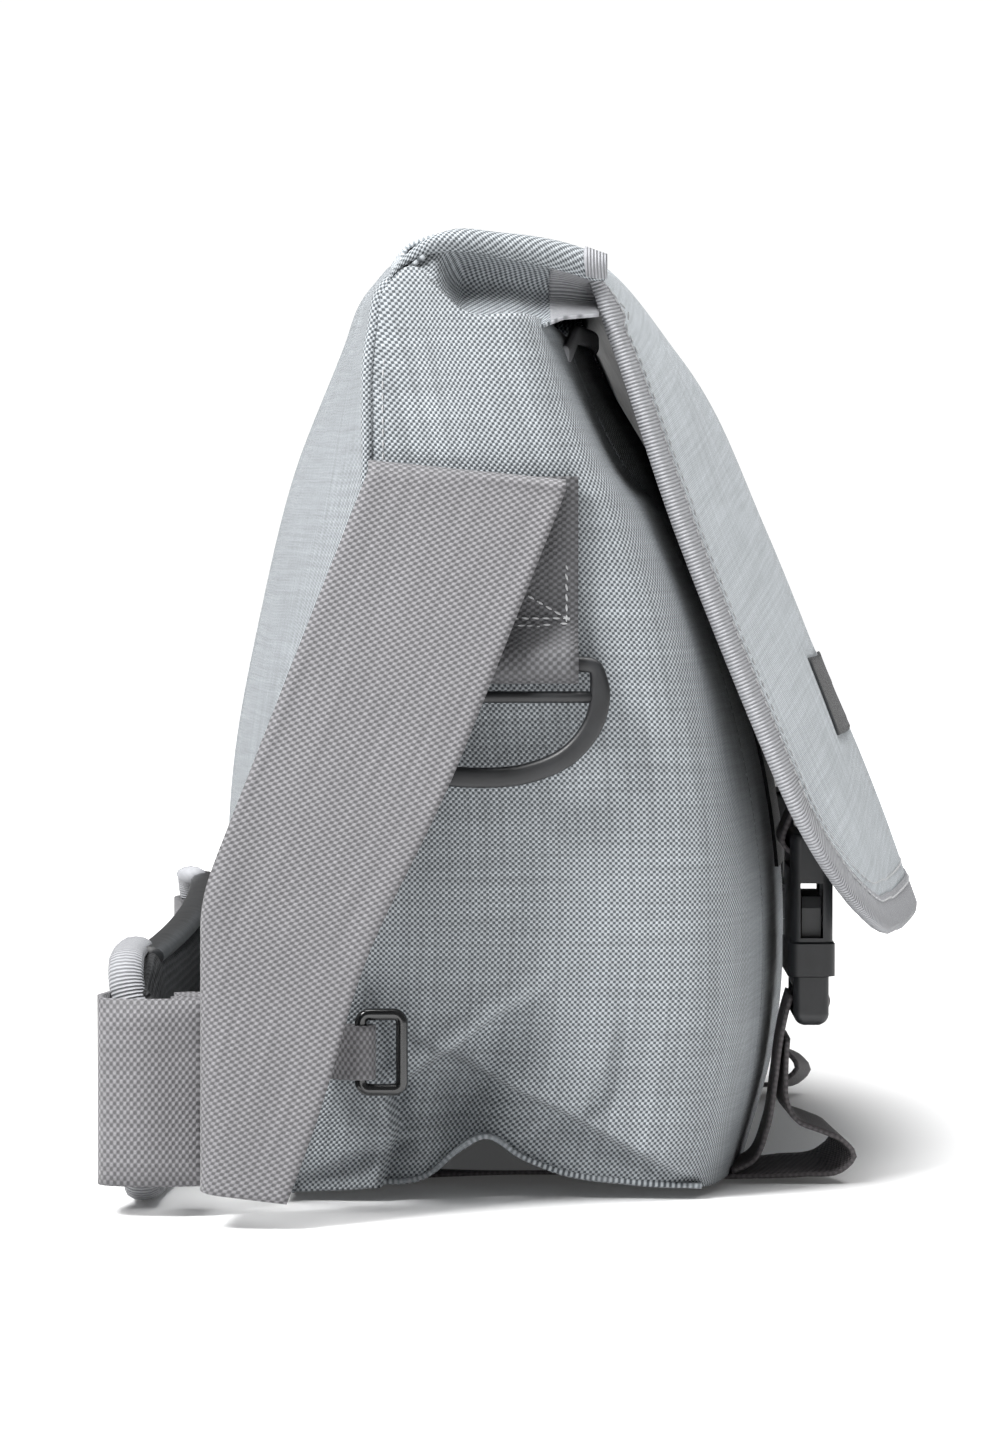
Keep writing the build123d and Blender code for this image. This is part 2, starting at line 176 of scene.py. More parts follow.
def link_object(name, data):
    made = bpy.data.objects.new(name, data)
    bpy.context.scene.collection.objects.link(made)
    return made


def raise_mesh(name, points, faces, uv, finish):
    mesh = bpy.data.meshes.new(name)
    mesh.from_pydata(to_frame(points).tolist(), [], faces)
    corners = np.empty(len(mesh.loops), np.int32)
    mesh.loops.foreach_get("vertex_index", corners)
    layer = mesh.uv_layers.new(name="cloth")
    layer.data.foreach_set("uv", np.asarray(uv, np.float32)[corners].ravel())
    mesh.materials.append(bpy.data.materials[finish])
    shape = bmesh.new()
    shape.from_mesh(mesh)
    bmesh.ops.recalc_face_normals(shape, faces=shape.faces)
    shape.to_mesh(mesh)
    shape.free()
    mesh.polygons.foreach_set("use_smooth", [True] * len(mesh.polygons))
    return link_object(name, mesh)


def sheet(name, grid, thick, finish, hint=(0, 0, 1), uv=None):
    """A closed sheet of cloth. Its face is the grid, and its thickness lies away from the hint's direction."""
    grid = np.asarray(grid, float)
    normal = grid_normals(grid)
    if (normal * np.asarray(hint, float)).sum(axis=2).mean() < 0:
        normal = -normal
    uv = cloth_map(grid) if uv is None else uv
    n, m = grid.shape[:2]
    points = np.concatenate([grid.reshape(-1, 3), (grid - normal * thick).reshape(-1, 3)])
    index = np.arange(n * m).reshape(n, m)
    quads = np.stack([index[:-1, :-1], index[:-1, 1:], index[1:, 1:], index[1:, :-1]], axis=2).reshape(-1, 4)
    rim = np.concatenate([index[0, :], index[1:, -1], index[-1, -2::-1], index[-2:0:-1, 0]])
    nxt = np.roll(rim, -1)
    wall = np.stack([rim, rim + n * m, nxt + n * m, nxt], axis=1)
    faces = np.concatenate([quads, quads[:, ::-1] + n * m, wall]).tolist()
    return raise_mesh(name, points, faces, np.concatenate([uv.reshape(-1, 2)] * 2), finish)


def tube_faces(rings, corners, closed=False):
    """Faces round a row of rings of points, capped at both ends unless the row closes on itself."""
    index = np.arange(rings * corners).reshape(rings, corners)
    faces = []
    for i in range(rings if closed else rings - 1):
        a, b = index[i].tolist(), index[(i + 1) % rings].tolist()
        faces += [[a[j], b[j], b[(j + 1) % corners], a[(j + 1) % corners]] for j in range(corners)]
    return faces if closed else faces + [index[0][::-1].tolist(), index[-1].tolist()]


def sweep(name, path, up, section, finish, closed=False):
    """One section, or one for each point, drawn along a path; up says which way its second axis points."""
    path, section = np.asarray(path, float), np.asarray(section, float)
    if closed:
        along = unit(np.roll(path, -1, axis=0) - np.roll(path, 1, axis=0))
    else:
        along = unit(np.gradient(path, axis=0))
    side = unit(np.cross(np.broadcast_to(np.asarray(up, float), path.shape), along))
    rise = np.cross(along, side)
    n, k = len(path), section.shape[-2]
    sections = np.broadcast_to(section, (n, k, 2))
    points = path[:, None] + side[:, None] * sections[:, :, :1] + rise[:, None] * sections[:, :, 1:]
    uv = np.stack(np.meshgrid(lengths(sections[0]), lengths(path)), axis=2)
    return raise_mesh(name, points.reshape(-1, 3), tube_faces(n, k, closed), uv.reshape(-1, 2), finish)


def ribbon(name, path, across, width, thick, finish, columns=11):
    """Flat webbing: a middle line, the direction of its width at each point, and its real width."""
    path = np.asarray(path, float)
    across = unit(np.broadcast_to(np.asarray(across, float), path.shape))
    places = np.linspace(-width / 2, width / 2, columns)
    grid = path[:, None] + across[:, None] * places[None, :, None]
    normal = grid_normals(grid)
    return sheet(name, grid + normal * thick / 2, thick, finish, hint=normal)


def rounded(width, height, radius, steps=4):
    """A rounded rectangle's outline."""
    out = []
    for k, (sx, sy) in enumerate(((1, 1), (-1, 1), (-1, -1), (1, -1))):
        for a in np.linspace(0, math.pi / 2, steps):
            turn = a + k * math.pi / 2
            out.append((
                sx * (width / 2 - radius) + radius * math.cos(turn),
                sy * (height / 2 - radius) + radius * math.sin(turn),
            ))
    return out


def oval(wide, tall, corners):
    """An ellipse's outline, from its half width and half height."""
    turn = np.linspace(0, 2 * math.pi, corners + 1)[:-1]
    return np.stack([wide * np.cos(turn), tall * np.sin(turn)], axis=1)


SIDES = (("left", 1.0), ("right", -1.0))


def on_side(points, hand):
    """Points drawn for the left side, or their mirror image for the right."""
    return np.asarray(points, float) * (hand, 1.0, 1.0)


def whole_width(half):
    """A sheet drawn from the left to the bag's middle, with its mirror image joined on."""
    return np.concatenate([half, on_side(half, -1.0)[:, -2::-1]], axis=1)


def finish_piece(piece, body, slot, *nodes):
    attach(piece, body)
    if nodes:
        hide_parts(*nodes)
    return piece


# ---------------------------------------------------------------- finishes
def add(tree, kind, inputs=None, **settings):
    """Adds a node with its settings, and sets or links its inputs."""
    made = tree.nodes.new(kind)
    for key, value in settings.items():
        setattr(made, key, value)
    for key, value in (inputs or {}).items():
        if isinstance(value, bpy.types.NodeSocket):
            tree.links.new(value, made.inputs[key])
        else:
            made.inputs[key].default_value = value
    return made


def start_finish(name, roughness, **shader):
    made = bpy.data.materials.new(name)
    made.use_nodes = True
    tree = made.node_tree
    body = tree.nodes["Principled BSDF"]
    body.inputs["Roughness"].default_value = roughness
    for key, value in shader.items():
        body.inputs[key.replace("_", " ")].default_value = value
    return tree, body


def sheet_place(tree):
    """The piece's own map, in mm across and along."""
    return add(tree, "ShaderNodeUVMap", uv_map="cloth").outputs["UV"]


def solid_place(tree):
    """Places in the solid itself, in m."""
    return add(tree, "ShaderNodeTexCoord").outputs["Object"]


def maths(tree, a, b, operation="MULTIPLY", kind="ShaderNodeMath"):
    return add(tree, kind, {0: a, 1: b}, operation=operation).outputs[0]


def vectors(tree, a, b, operation="MULTIPLY"):
    return maths(tree, a, b, operation, "ShaderNodeVectorMath")


def remap(tree, value, low, high, least=0.0, most=1.0, curve="LINEAR"):
    """Turns the values from low to high into values from least to most."""
    limits = {"Value": value, "From Min": low, "From Max": high, "To Min": least, "To Max": most}
    return add(tree, "ShaderNodeMapRange", limits, interpolation_type=curve).outputs["Result"]


def noise(tree, place, scale, detail=2.0, **more):
    return add(tree, "ShaderNodeTexNoise", {"Vector": place, "Scale": scale, "Detail": detail, **more}).outputs


def wave(tree, place, axis, pitch):
    """One thread direction: a sine with the given spacing in mm."""
    parts = add(tree, "ShaderNodeSeparateXYZ", {"Vector": place})
    turn = maths(tree, parts.outputs[axis], 2 * math.pi / pitch)
    return add(tree, "ShaderNodeMath", {0: turn}, operation="SINE").outputs[0]


def mottle(tree, place, scale, low, high):
    """Slow change of tone over the cloth, between two factors."""
    return remap(tree, noise(tree, place, scale, 3.0, Roughness=0.6)["Fac"], 0.3, 0.7, low, high)


def streaks(tree, place, stretch):
    """Thick and thin yarns: noise drawn out along one thread direction."""
    return mottle(tree, vectors(tree, place, stretch), 1.0, 0.86, 1.14)


def darker(tint, share):
    return (*[part * share for part in tint[:3]], 1.0)


def paint(tree, body, amount, dark, light, shade=1.0):
    """Colours the body between two tones by amount, all of it times a shade."""
    mix = add(tree, "ShaderNodeMix", {"Factor": amount}, data_type="RGBA")
    mix.inputs["A"].default_value, mix.inputs["B"].default_value = dark, light
    tone = add(tree, "ShaderNodeMix", {"Factor": 1.0}, data_type="RGBA", blend_type="MULTIPLY")
    tree.links.new(mix.outputs["Result"], tone.inputs["A"])
    grey = add(tree, "ShaderNodeCombineColor", {"Red": shade, "Green": shade, "Blue": shade})
    tree.links.new(grey.outputs["Color"], tone.inputs["B"])
    tree.links.new(tone.outputs["Result"], body.inputs["Base Color"])


def relief(tree, body, height, depth_mm, strength=1.0):
    bump = add(tree, "ShaderNodeBump", {"Height": height, "Distance": depth_mm / 1000, "Strength": strength})
    tree.links.new(bump.outputs["Normal"], body.inputs["Normal"])


def woven_nylon(name, light, dark, pitch):
    """Heavy two-tone nylon in plain weave: pale dashes on a dark ground, dull with a slight sheen. The threads wander
    a little and differ in thickness."""
    tree, body = start_finish(name, 0.72, Sheen_Weight=0.08, Sheen_Roughness=0.5)
    place = sheet_place(tree)
    wander = vectors(tree, noise(tree, place, 0.03, 1.0)["Color"], (1.6, 1.6, 0.0))
    place = vectors(tree, place, wander, "ADD")
    slub = maths(tree, streaks(tree, place, (0.75, 0.012, 1.0)), streaks(tree, place, (0.02, 0.9, 1.0)))
    weave = maths(tree, wave(tree, place, 0, 2 * pitch), wave(tree, place, 1, 2 * pitch))
    over = remap(tree, weave, -0.45, 0.45, curve="SMOOTHSTEP")
    paint(tree, body, over, dark, light, maths(tree, mottle(tree, place, 0.035, 0.95, 1.05), slub))
    relief(tree, body, weave, 0.14)


def ribbed_tape(name, tint, pitch):
    """Grosgrain nylon tape: close ribs across the tape, with the grooves darkened by painted shade."""
    tree, body = start_finish(name, 0.6, Sheen_Weight=0.1)
    place = sheet_place(tree)
    rib = wave(tree, place, 1, pitch)
    # The grooves are painted down to a darker copy of the tape's one tint: painted shade between the ribs.
    paint(tree, body, remap(tree, rib, -1.0, 0.3), darker(tint, 0.42), tint, mottle(tree, place, 0.5, 0.92, 1.08))
    relief(tree, body, rib, 0.16)


def webbing(name, tint, row):
    """Heavy nylon webbing: rows of short staggered floats across the width, with the gaps between them darkened by
    painted shade.
    """
    tree, body = start_finish(name, 0.62, Sheen_Weight=0.1)
    place = sheet_place(tree)
    floats = maths(tree, wave(tree, place, 0, 1.5 * row), wave(tree, place, 1, 1.15 * row))
    over = remap(tree, floats, -0.5, 0.6)
    shade = maths(tree, mottle(tree, place, 0.03, 0.95, 1.05), streaks(tree, place, (0.7, 0.02, 1.0)))
    # The gaps between the floats are painted down to a darker copy of the webbing's tint: painted shade.
    paint(tree, body, over, darker(tint, 0.34), tint, shade)
    relief(tree, body, over, 0.2)


def coated_liner(name):
    """Thin black nylon with a waterproof coating: smooth, slightly shiny, with faint creases."""
    tree, body = start_finish(name, 0.42, Coat_Weight=0.15, Coat_Roughness=0.4)
    place = sheet_place(tree)
    shade = mottle(tree, place, 0.05, 0.7, 1.3)
    paint(tree, body, shade, linear("#0b0b0c"), linear("#161719"), shade)
    relief(tree, body, noise(tree, place, 0.06, 5.0)["Fac"], 1.2, 0.6)


def air_mesh(name):
    """Black knitted spacer mesh: small round cells, dull and very dark."""
    tree, body = start_finish(name, 0.85)
    place = sheet_place(tree)
    cells = add(tree, "ShaderNodeTexVoronoi", {"Vector": place, "Scale": 0.62, "Randomness": 0.25})
    rim = remap(tree, cells.outputs["Distance"], 0.1, 0.55)
    paint(tree, body, rim, linear("#050506"), linear("#232426"), mottle(tree, place, 0.05, 0.85, 1.15))
    relief(tree, body, rim, 0.5)


def moulded_plastic(name, tint, roughness, coat=0.0):
    """Injection-moulded acetal: near black, with the fine grain of its mould and rubbed paler patches."""
    tree, body = start_finish(name, roughness, Coat_Weight=coat, Coat_Roughness=0.12, IOR=1.48)
    place = solid_place(tree)
    paint(tree, body, 0.5, tint, tint, mottle(tree, place, 90.0, 0.7, 1.6))
    relief(tree, body, noise(tree, place, 2600.0)["Fac"], 0.03, 0.8)


def satin_label(name):
    """Black woven damask label: very fine ribs, a little shinier than the cloth. It carries no mark."""
    tree, body = start_finish(name, 0.5, Sheen_Weight=0.15)
    place = sheet_place(tree)
    rib = wave(tree, place, 0, 0.7)
    shade = mottle(tree, place, 0.3, 0.85, 1.15)
    paint(tree, body, remap(tree, rib, -1.0, 1.0), linear("#141516"), linear("#2b2d2f"), shade)
    relief(tree, body, rib, 0.1)


def touch_tape(name):
    """Hook-and-loop tape: a dense black nap."""
    tree, body = start_finish(name, 0.9, Sheen_Weight=0.25)
    nap = noise(tree, solid_place(tree), 1400.0, 4.0)["Fac"]
    paint(tree, body, nap, linear("#060606"), linear("#1b1b1d"))
    relief(tree, body, nap, 0.4)


def turned_steel(name):
    """The small steel pin of the cam buckle, faintly mottled."""
    tree, body = start_finish(name, 0.32, Metallic=1.0)
    paint(tree, body, noise(tree, solid_place(tree), 900.0)["Fac"], linear("#77797c"), linear("#a7a9ac"))


def sewing_thread(name, tint):
    """Bonded polyester thread, whose fine twist shows as a change of tone."""
    tree, body = start_finish(name, 0.55, Sheen_Weight=0.2)
    paint(tree, body, noise(tree, solid_place(tree), 1500.0)["Fac"], darker(tint, 0.5), tint)


def make_finishes():
    s, c = sizes(), colours()
    woven_nylon("woven_nylon_shell", c.shell_light, c.shell_dark, s.thread)
    # The flap's finish: the shell's weave in paler colours, which are painted light for the flap's top-lit face.
    woven_nylon("woven_nylon_flap", c.flap_light_painted_lit, c.flap_dark_painted_lit, s.thread * 0.9)
    ribbed_tape("grosgrain_tape", c.tape, s.rib)
    webbing("webbing_strap", c.strap, s.web_row)
    webbing("webbing_anchor", c.anchor, s.web_row)
    webbing("webbing_closing", c.closing, s.web_row * 0.9)
    coated_liner("coated_liner")
    air_mesh("spacer_mesh")
    moulded_plastic("acetal_matt", c.plastic, 0.42)
    moulded_plastic("acetal_gloss", linear("#101112"), 0.2, 0.5)
    satin_label("damask_label")
    touch_tape("hook_and_loop_nap")
    turned_steel("drawn_steel")
    sewing_thread("polyester_thread", c.thread_grey)


# ---------------------------------------------------------------- the shell's shape
# Height, half width, back seam, back crown, front seam, front crown.
SHELL = np.array([
    (2, 154, 55, 59, -54, -69.5),
    (30, 162, 48, 71, -58, -77.5),
    (70, 170, 43, 76, -60, -80),
    (110, 176, 39, 75.5, -56, -75),
    (150, 181, 36, 69, -46, -63),
    (190, 185, 33.5, 58.5, -29, -45),
    (226, 187, 32, 43, -10, -25),
    (237, 187, 29, 38.5, -6, -21),
    (246, 187, 19, 31.5, -2, -18),
], float)
HALF_WIDTH, BACK_SEAM, BACK_CROWN, FRONT_SEAM, FRONT_CROWN = range(1, 6)
# The height of the plain top edge of the front and the ends, and the height at which they start to lean in.
TOP_HEIGHT, LEAN_HEIGHT = 226, 178
# The underside seen from the end: depth and height of its arch.
ARCH = np.array([
    (-56, 2.2), (-34, 3.6), (-15, 6.5), (-5, 10.5), (4, 15.5), (10, 12.5), (18, 6.0), (34, 3.4), (56, 2.2),
], float)
# The cloth's top edge at the end of the bag.
TOP_EDGE = np.array([
    (-46, 176), (-35.6, 195), (-29.5, 209.5), (-25.5, 217), (-20.4, 223), (-12.7, 228.5), (-5, 230.5), (9, 231),
    (15, 236), (19.9, 241.5), (24, 242), (28, 238.5), (31.5, 233), (36, 226),
], float)


def arch_height(depth):
    return cubic(ARCH[:, 0], ARCH[:, 1], depth)


def shell_size(measure, height):
    """One of the shell's measures at a height."""
    return cubic(SHELL[:, 0], SHELL[:, measure], height)


def back_corner(height, out, behind):
    """The line where the back meets the left end, moved by the given amounts."""
    return np.stack([-shell_size(HALF_WIDTH, height) + out, shell_size(BACK_SEAM, height) + behind, height], axis=1)


# Folds at each end of the bag: a width, and a line of (depth, height, drop). The cloth on the line's left side,
# walking along it, drops in by that much and comes back over the width.
END_FOLDS = [
    (26.0, [(25.7, 31.5, 14.0), (12.8, 40.5, 13.0), (0.0, 50.7, 9.0), (-11.5, 58.4, 1.0)]),
    (24.0, [
        (15.5, 40.0, 6.0), (6.4, 35.3, 11.0), (-2.6, 30.2, 12.0), (-15.4, 24.3, 11.0), (-35.9, 12.7, 8.0),
        (-56.4, 3.2, 2.0),
    ]),
    (12.0, [(-19.2, 24.5, 2.5), (-23.0, 26.9, 4.5), (-26.9, 34.0, 4.0), (-30.0, 44.3, 2.2), (-31.5, 52.0, 0.0)]),
    (9.0, [
        (28.2, 15.3, 5.0), (27.2, 19.7, 7.0), (29.0, 27.9, 8.0), (31.8, 35.8, 7.0), (34.4, 52.0, 4.0),
        (36.4, 68.0, 0.0),
    ]),
    (6.0, [(53.0, 6.0, 1.5), (41.8, 10.2, 4.0), (35.2, 14.0, 5.0), (28.2, 15.3, 4.5)]),
]
# Soft dents and swells: depth, height, the two widths and how far each stands out.
END_DENTS = [
    (10.5, 27.0, 8.0, 9.0, -14.0), (22.0, 12.0, 6.0, 9.0, 3.0), (-4.0, 44.0, 8.0, 7.0, -1.5),
    (8.0, 95.0, 24.0, 30.0, 1.5), (22.0, 205.0, 9.0, 22.0, -1.6), (-4.0, 160.0, 12.0, 34.0, 1.4),
]
# The deepest a fold goes unsoftened, and the height below which the rear fold covers the others.
DEEP_FOLD, REAR_FOLD_TOP = -10, 68


def fold_drop(depth, height, line, width):
    """How far one fold pulls the cloth in at each place."""
    line = np.asarray(line, float)
    best, signed, drop = np.full(depth.shape, 1e9), np.zeros(depth.shape), np.zeros(depth.shape)
    for (y0, z0, a0), (y1, z1, a1) in zip(line[:-1], line[1:]):
        dy, dz = y1 - y0, z1 - z0
        t = np.clip(((depth - y0) * dy + (height - z0) * dz) / (dy * dy + dz * dz), 0, 1)
        ry, rz = depth - y0 - t * dy, height - z0 - t * dz
        far = np.hypot(ry, rz)
        near = far < best
        cross = (dy * (height - z0) - dz * (depth - y0)) / math.hypot(dy, dz)
        best = np.where(near, far, best)
        signed = np.where(near, np.where(cross > 0, far, -far), signed)
        drop = np.where(near, a0 + (a1 - a0) * t, drop)
    step = ease((signed + 0.4) / 1.5)
    lip = 0.12 * np.exp(-(((signed + 2.5) / 4.0) ** 2))
    return drop * (step * np.exp(-np.maximum(signed - 1.1, 0) / width) - lip), step


def end_relief(depth, height):
    """How far the cloth at the bag's end stands out from its plain bulge."""
    folds = [fold_drop(depth, height, line, width) for width, line in END_FOLDS]
    # The rear fold lies over the two long ones, so they stop at its edge.
    over = np.where(height < REAR_FOLD_TOP, folds[3][1], 1.0)
    out = -(folds[0][0] + folds[1][0] + folds[2][0]) * over - folds[3][0] - folds[4][0]
    for y, z, wide, tall, amount in END_DENTS:
        out += amount * np.exp(-(((depth - y) / wide) ** 2) - ((height - z) / tall) ** 2)
    return np.where(out < DEEP_FOLD, DEEP_FOLD + 0.7 * (out - DEEP_FOLD), out)


# Columns of the shell's grid: along the end, round the front corner, and along half of the front.
SIDE_COLUMNS, WRAP_COLUMNS, FRONT_COLUMNS = 130, 26, 96
END_BULGE, CORNER_PASSES = 5.0, 260


def shell_rows(heights):
    """Half of the shell from the back seam, round the end and the front corner, to the front's middle."""
    z = np.asarray(heights, float)[:, None]
    half, back, front, crown = [shell_size(k, z) for k in (HALF_WIDTH, BACK_SEAM, FRONT_SEAM, FRONT_CROWN)]
    t = np.linspace(0, 1, SIDE_COLUMNS)[None]
    side = np.stack([-(half + END_BULGE * 4 * t * (1 - t)), back + (front - back) * t + 0 * z], axis=2)
    s = np.linspace(0, 1, FRONT_COLUMNS)[None, 1:]
    face = np.stack([-half * (1 - s), front + (crown - front) * (1 - (1 - s) ** 2.2)], axis=2)
    line = np.concatenate([side, face], axis=1)
    # Smoothing rounds the corner between the end and the front.
    weight = np.exp(-(((np.arange(line.shape[1]) - SIDE_COLUMNS) / WRAP_COLUMNS) ** 2))[None, 1:-1, None]
    for _ in range(CORNER_PASSES):
        line[:, 1:-1] += 0.5 * weight * ((line[:, 2:] + line[:, :-2]) / 2 - line[:, 1:-1])
    return line


def lean(z):
    """From 0 where the cloth starts to lean in, to 1 at the top edge."""
    return ease((z - LEAN_HEIGHT) / (TOP_HEIGHT - LEAN_HEIGHT))


def top_shift(line, z):
    """How far the bag's ends rise above or fall below the plain top edge."""
    share = ease((-line[..., 0] - 118) / 30) * lean(z)
    return share * (cubic(TOP_EDGE[:, 0], TOP_EDGE[:, 1], line[..., 1]) - TOP_HEIGHT)


def shell_grid(heights, columns):
    """Points of the shell with its arch, top edge and folds, and the weave's map over them."""
    line = shell_rows(heights)[:, columns]
    z = np.broadcast_to(np.asarray(heights, float)[:, None], line.shape[:2]).copy()
    depth = line[..., 1]
    z += (arch_height(depth) - 2) * (1 - ease((z - 2) / 58))
    z += top_shift(line, z)
    grid = np.concatenate([line, z[..., None]], axis=2)
    amount = end_relief(depth, z) * ease((-line[..., 0] - 135) / 25)
    for _ in range(2):
        inner = amount[1:-1, :-2] + amount[1:-1, 2:] + amount[:-2, 1:-1] + amount[2:, 1:-1]
        amount[1:-1, 1:-1] = 0.5 * amount[1:-1, 1:-1] + 0.125 * inner
    grid[..., 0] -= amount
    u = lengths(line, 1)
    middle = u.shape[1] // 2
    return grid, np.stack([u - u[:, middle : middle + 1], z], axis=2)


class BAG_OT_shell(bpy.types.Operator):
    """The outer cloth: two folded ends, the front, the bowed back and the arched underside"""

    bl_idname = "bag.shell"
    bl_label = "Shell cloth"

    def execute(self, context):
        wrap = SIDE_COLUMNS + WRAP_COLUMNS
        end, end_map = shell_grid(np.r_[np.linspace(2, 66, 84), np.linspace(68, TOP_HEIGHT, 74)], slice(0, wrap))
        for name, hand in SIDES:
            self.panel(f"end_cloth_{name}", on_side(end, hand), (-hand, 0, 0), f"side_panel_{name}", end_map)
        heights = np.r_[np.linspace(2, 60, 26), np.linspace(64, TOP_HEIGHT, 50)]
        front = whole_width(shell_grid(heights, slice(wrap - 2, None))[0])
        self.panel("front_cloth", front, (0, -1, 0), "front_panel", front[..., ::2])
        self.back()
        x, y = np.meshgrid(np.linspace(-151, 151, 60), np.linspace(-52.735, 52.735, 90))
        bottom = np.stack([x, y, arch_height(y) + 0.3], axis=2)
        self.panel("underside_cloth", bottom, (0, 0, -1), "bottom_panel")
        return {"FINISHED"}

    def panel(self, name, grid, hint, node, weave=None):
        finish_piece(sheet(name, grid, sizes().cloth, "woven_nylon_shell", hint, weave), "bag", "shell_cloth", node)

    def back(self):
        z = np.r_[np.linspace(2.2, 60, 30), np.linspace(63, 245.5, 80)][:, None]
        half, seam, crown = [shell_size(k, z) for k in (HALF_WIDTH, BACK_SEAM, BACK_CROWN)]
        s = np.sin(np.linspace(-1, 1, 110) * math.pi / 2)[None]
        bow = 1 - np.abs(s) ** 2.3
        sag = np.sin(z / 31.0 + 2.0 * s) * bow * ease(z / 40)
        grid = np.stack([half * s, seam + (crown - seam) * bow + sag, z + 0 * s], axis=2)
        self.panel("back_cloth", grid, (0, 1, 0), "back_panel", grid[..., ::2])
        for name, hand in SIDES:
            path = on_side(back_corner(np.linspace(4, 239, 120), 0.6, 0.4), hand)
            welt = sweep(f"seam_welt_{name}", path, (0, 1, 0), oval(1.5, 1.5, 8), "woven_nylon_shell")
            finish_piece(welt, "bag", "shell_cloth")


class BAG_OT_lining(bpy.types.Operator):
    """The black coated liner inside the shell, with its floor"""

    bl_idname = "bag.lining"
    bl_label = "Lining"

    # How far inside the shell the liner hangs, how much further in at the ends near the floor, and its thickness.
    gap, floor_gap, thick = 5.0, 30.0, 0.6

    def execute(self, context):
        heights = np.linspace(19, 221, 60)
        line = shell_rows(heights)
        z = np.broadcast_to(heights[:, None], line.shape[:2])
        z = z + top_shift(line, z) - 2.5 * lean(z)
        half = np.concatenate([line, z[..., None]], axis=2)[:, ::3]
        seam, crown = [shell_size(k, heights[:, None]) for k in (BACK_SEAM, BACK_CROWN)]
        s = np.linspace(-1, 0, 24)[None, :-1]
        back = np.stack([half[:, :1, 0] * -s, seam + (crown - seam) * (1 - s**2), heights[:, None] + 0 * s], axis=2)
        ring = np.concatenate([back[:, ::-1], half], axis=1)
        low_end = (1 - ease((ring[..., 2:] - 30) / 60)) * (np.abs(ring[..., :1]) > 120)
        ring = ring - unit(ring * (1, 1, 0)) * (self.gap + self.floor_gap * low_end)
        wall = sheet("liner_wall", whole_width(ring), self.thick, "coated_liner", hint=(0, 0, 0))
        finish_piece(wall, "bag", "liner_cloth", "body_lining")
        x, y = np.meshgrid(np.linspace(-122, 122, 30), np.linspace(-50, 46, 24))
        floor = np.stack([x, y, arch_height(y) + 2.4], axis=2)
        finish_piece(sheet("liner_floor", floor, self.thick, "coated_liner"), "bag", "liner_cloth")
        edge = shell_rows([222.0])[0]
        edge = edge[edge[:, 0] > -156][-FRONT_COLUMNS:]
        rim = np.concatenate([edge, (edge * (-1, 1))[-2::-1]])
        path = np.insert(rim, 2, 226.4, axis=1)
        path[:, 2] -= 6.0 * ease((np.abs(path[:, 0]) - 128) / 26)
        tape = sweep("mouth_tape", path, (0, 0, 1), rounded(2.6, 5.0, 1.2, 3), "grosgrain_tape")
        finish_piece(tape, "bag", "binding_tape", "mouth_binding")
        return {"FINISHED"}


# ---------------------------------------------------------------- flap
FLAP_MIDDLE = [
    (34.4, 236), (32.2, 244), (28.2, 250), (21, 252.6), (-6, 253.2), (-26, 248.7), (-51, 222), (-74.5, 175),
    (-91.5, 136.5), (-108.5, 94), (-118, 67),
]
FLAP_EDGE = [
    (28.4, 236), (26.2, 243), (24.6, 248), (20, 250.4), (-4, 250.2), (-22, 246), (-29.5, 228), (-46.5, 178),
    (-61.5, 140), (-78.5, 100), (-93.5, 67),
]
FLAP_HALF, FLAP_LOW, FLAP_CORNER = 165.0, 68.0, 42.0
# The depth at which the binding starts on the flap's side edges.
BINDING_START = -24
# The crest at the flap's ends: depth, reach from the bag's middle, height, and how far the roll comes down.
CREST = np.array([
    (-27, 168.5, 245.0, 6.5), (-24, 170, 246.0, 7.5), (-18, 172.5, 248.0, 7.8), (-10, 176, 249.6, 7.4),
    (0, 180, 250.6, 6.6), (13, 185, 250.9, 5.6), (20, 187.3, 247.8, 4.0), (25, 187.6, 243.5, 2.6),
    (29, 187.6, 238.5, 2.4),
])
# The lower edge of the wing under it: depth, reach and height. Its front tip hangs free.
WING_FOOT = np.array([
    (-25.5, 171.0, 231.0), (-16, 178.5, 230.0), (-10, 184.0, 227.5), (-4, 187.6, 228.5), (9, 189.4, 229.2),
    (15, 189.0, 234.0), (20, 188.0, 239.6), (24, 186.8, 240.0),
])


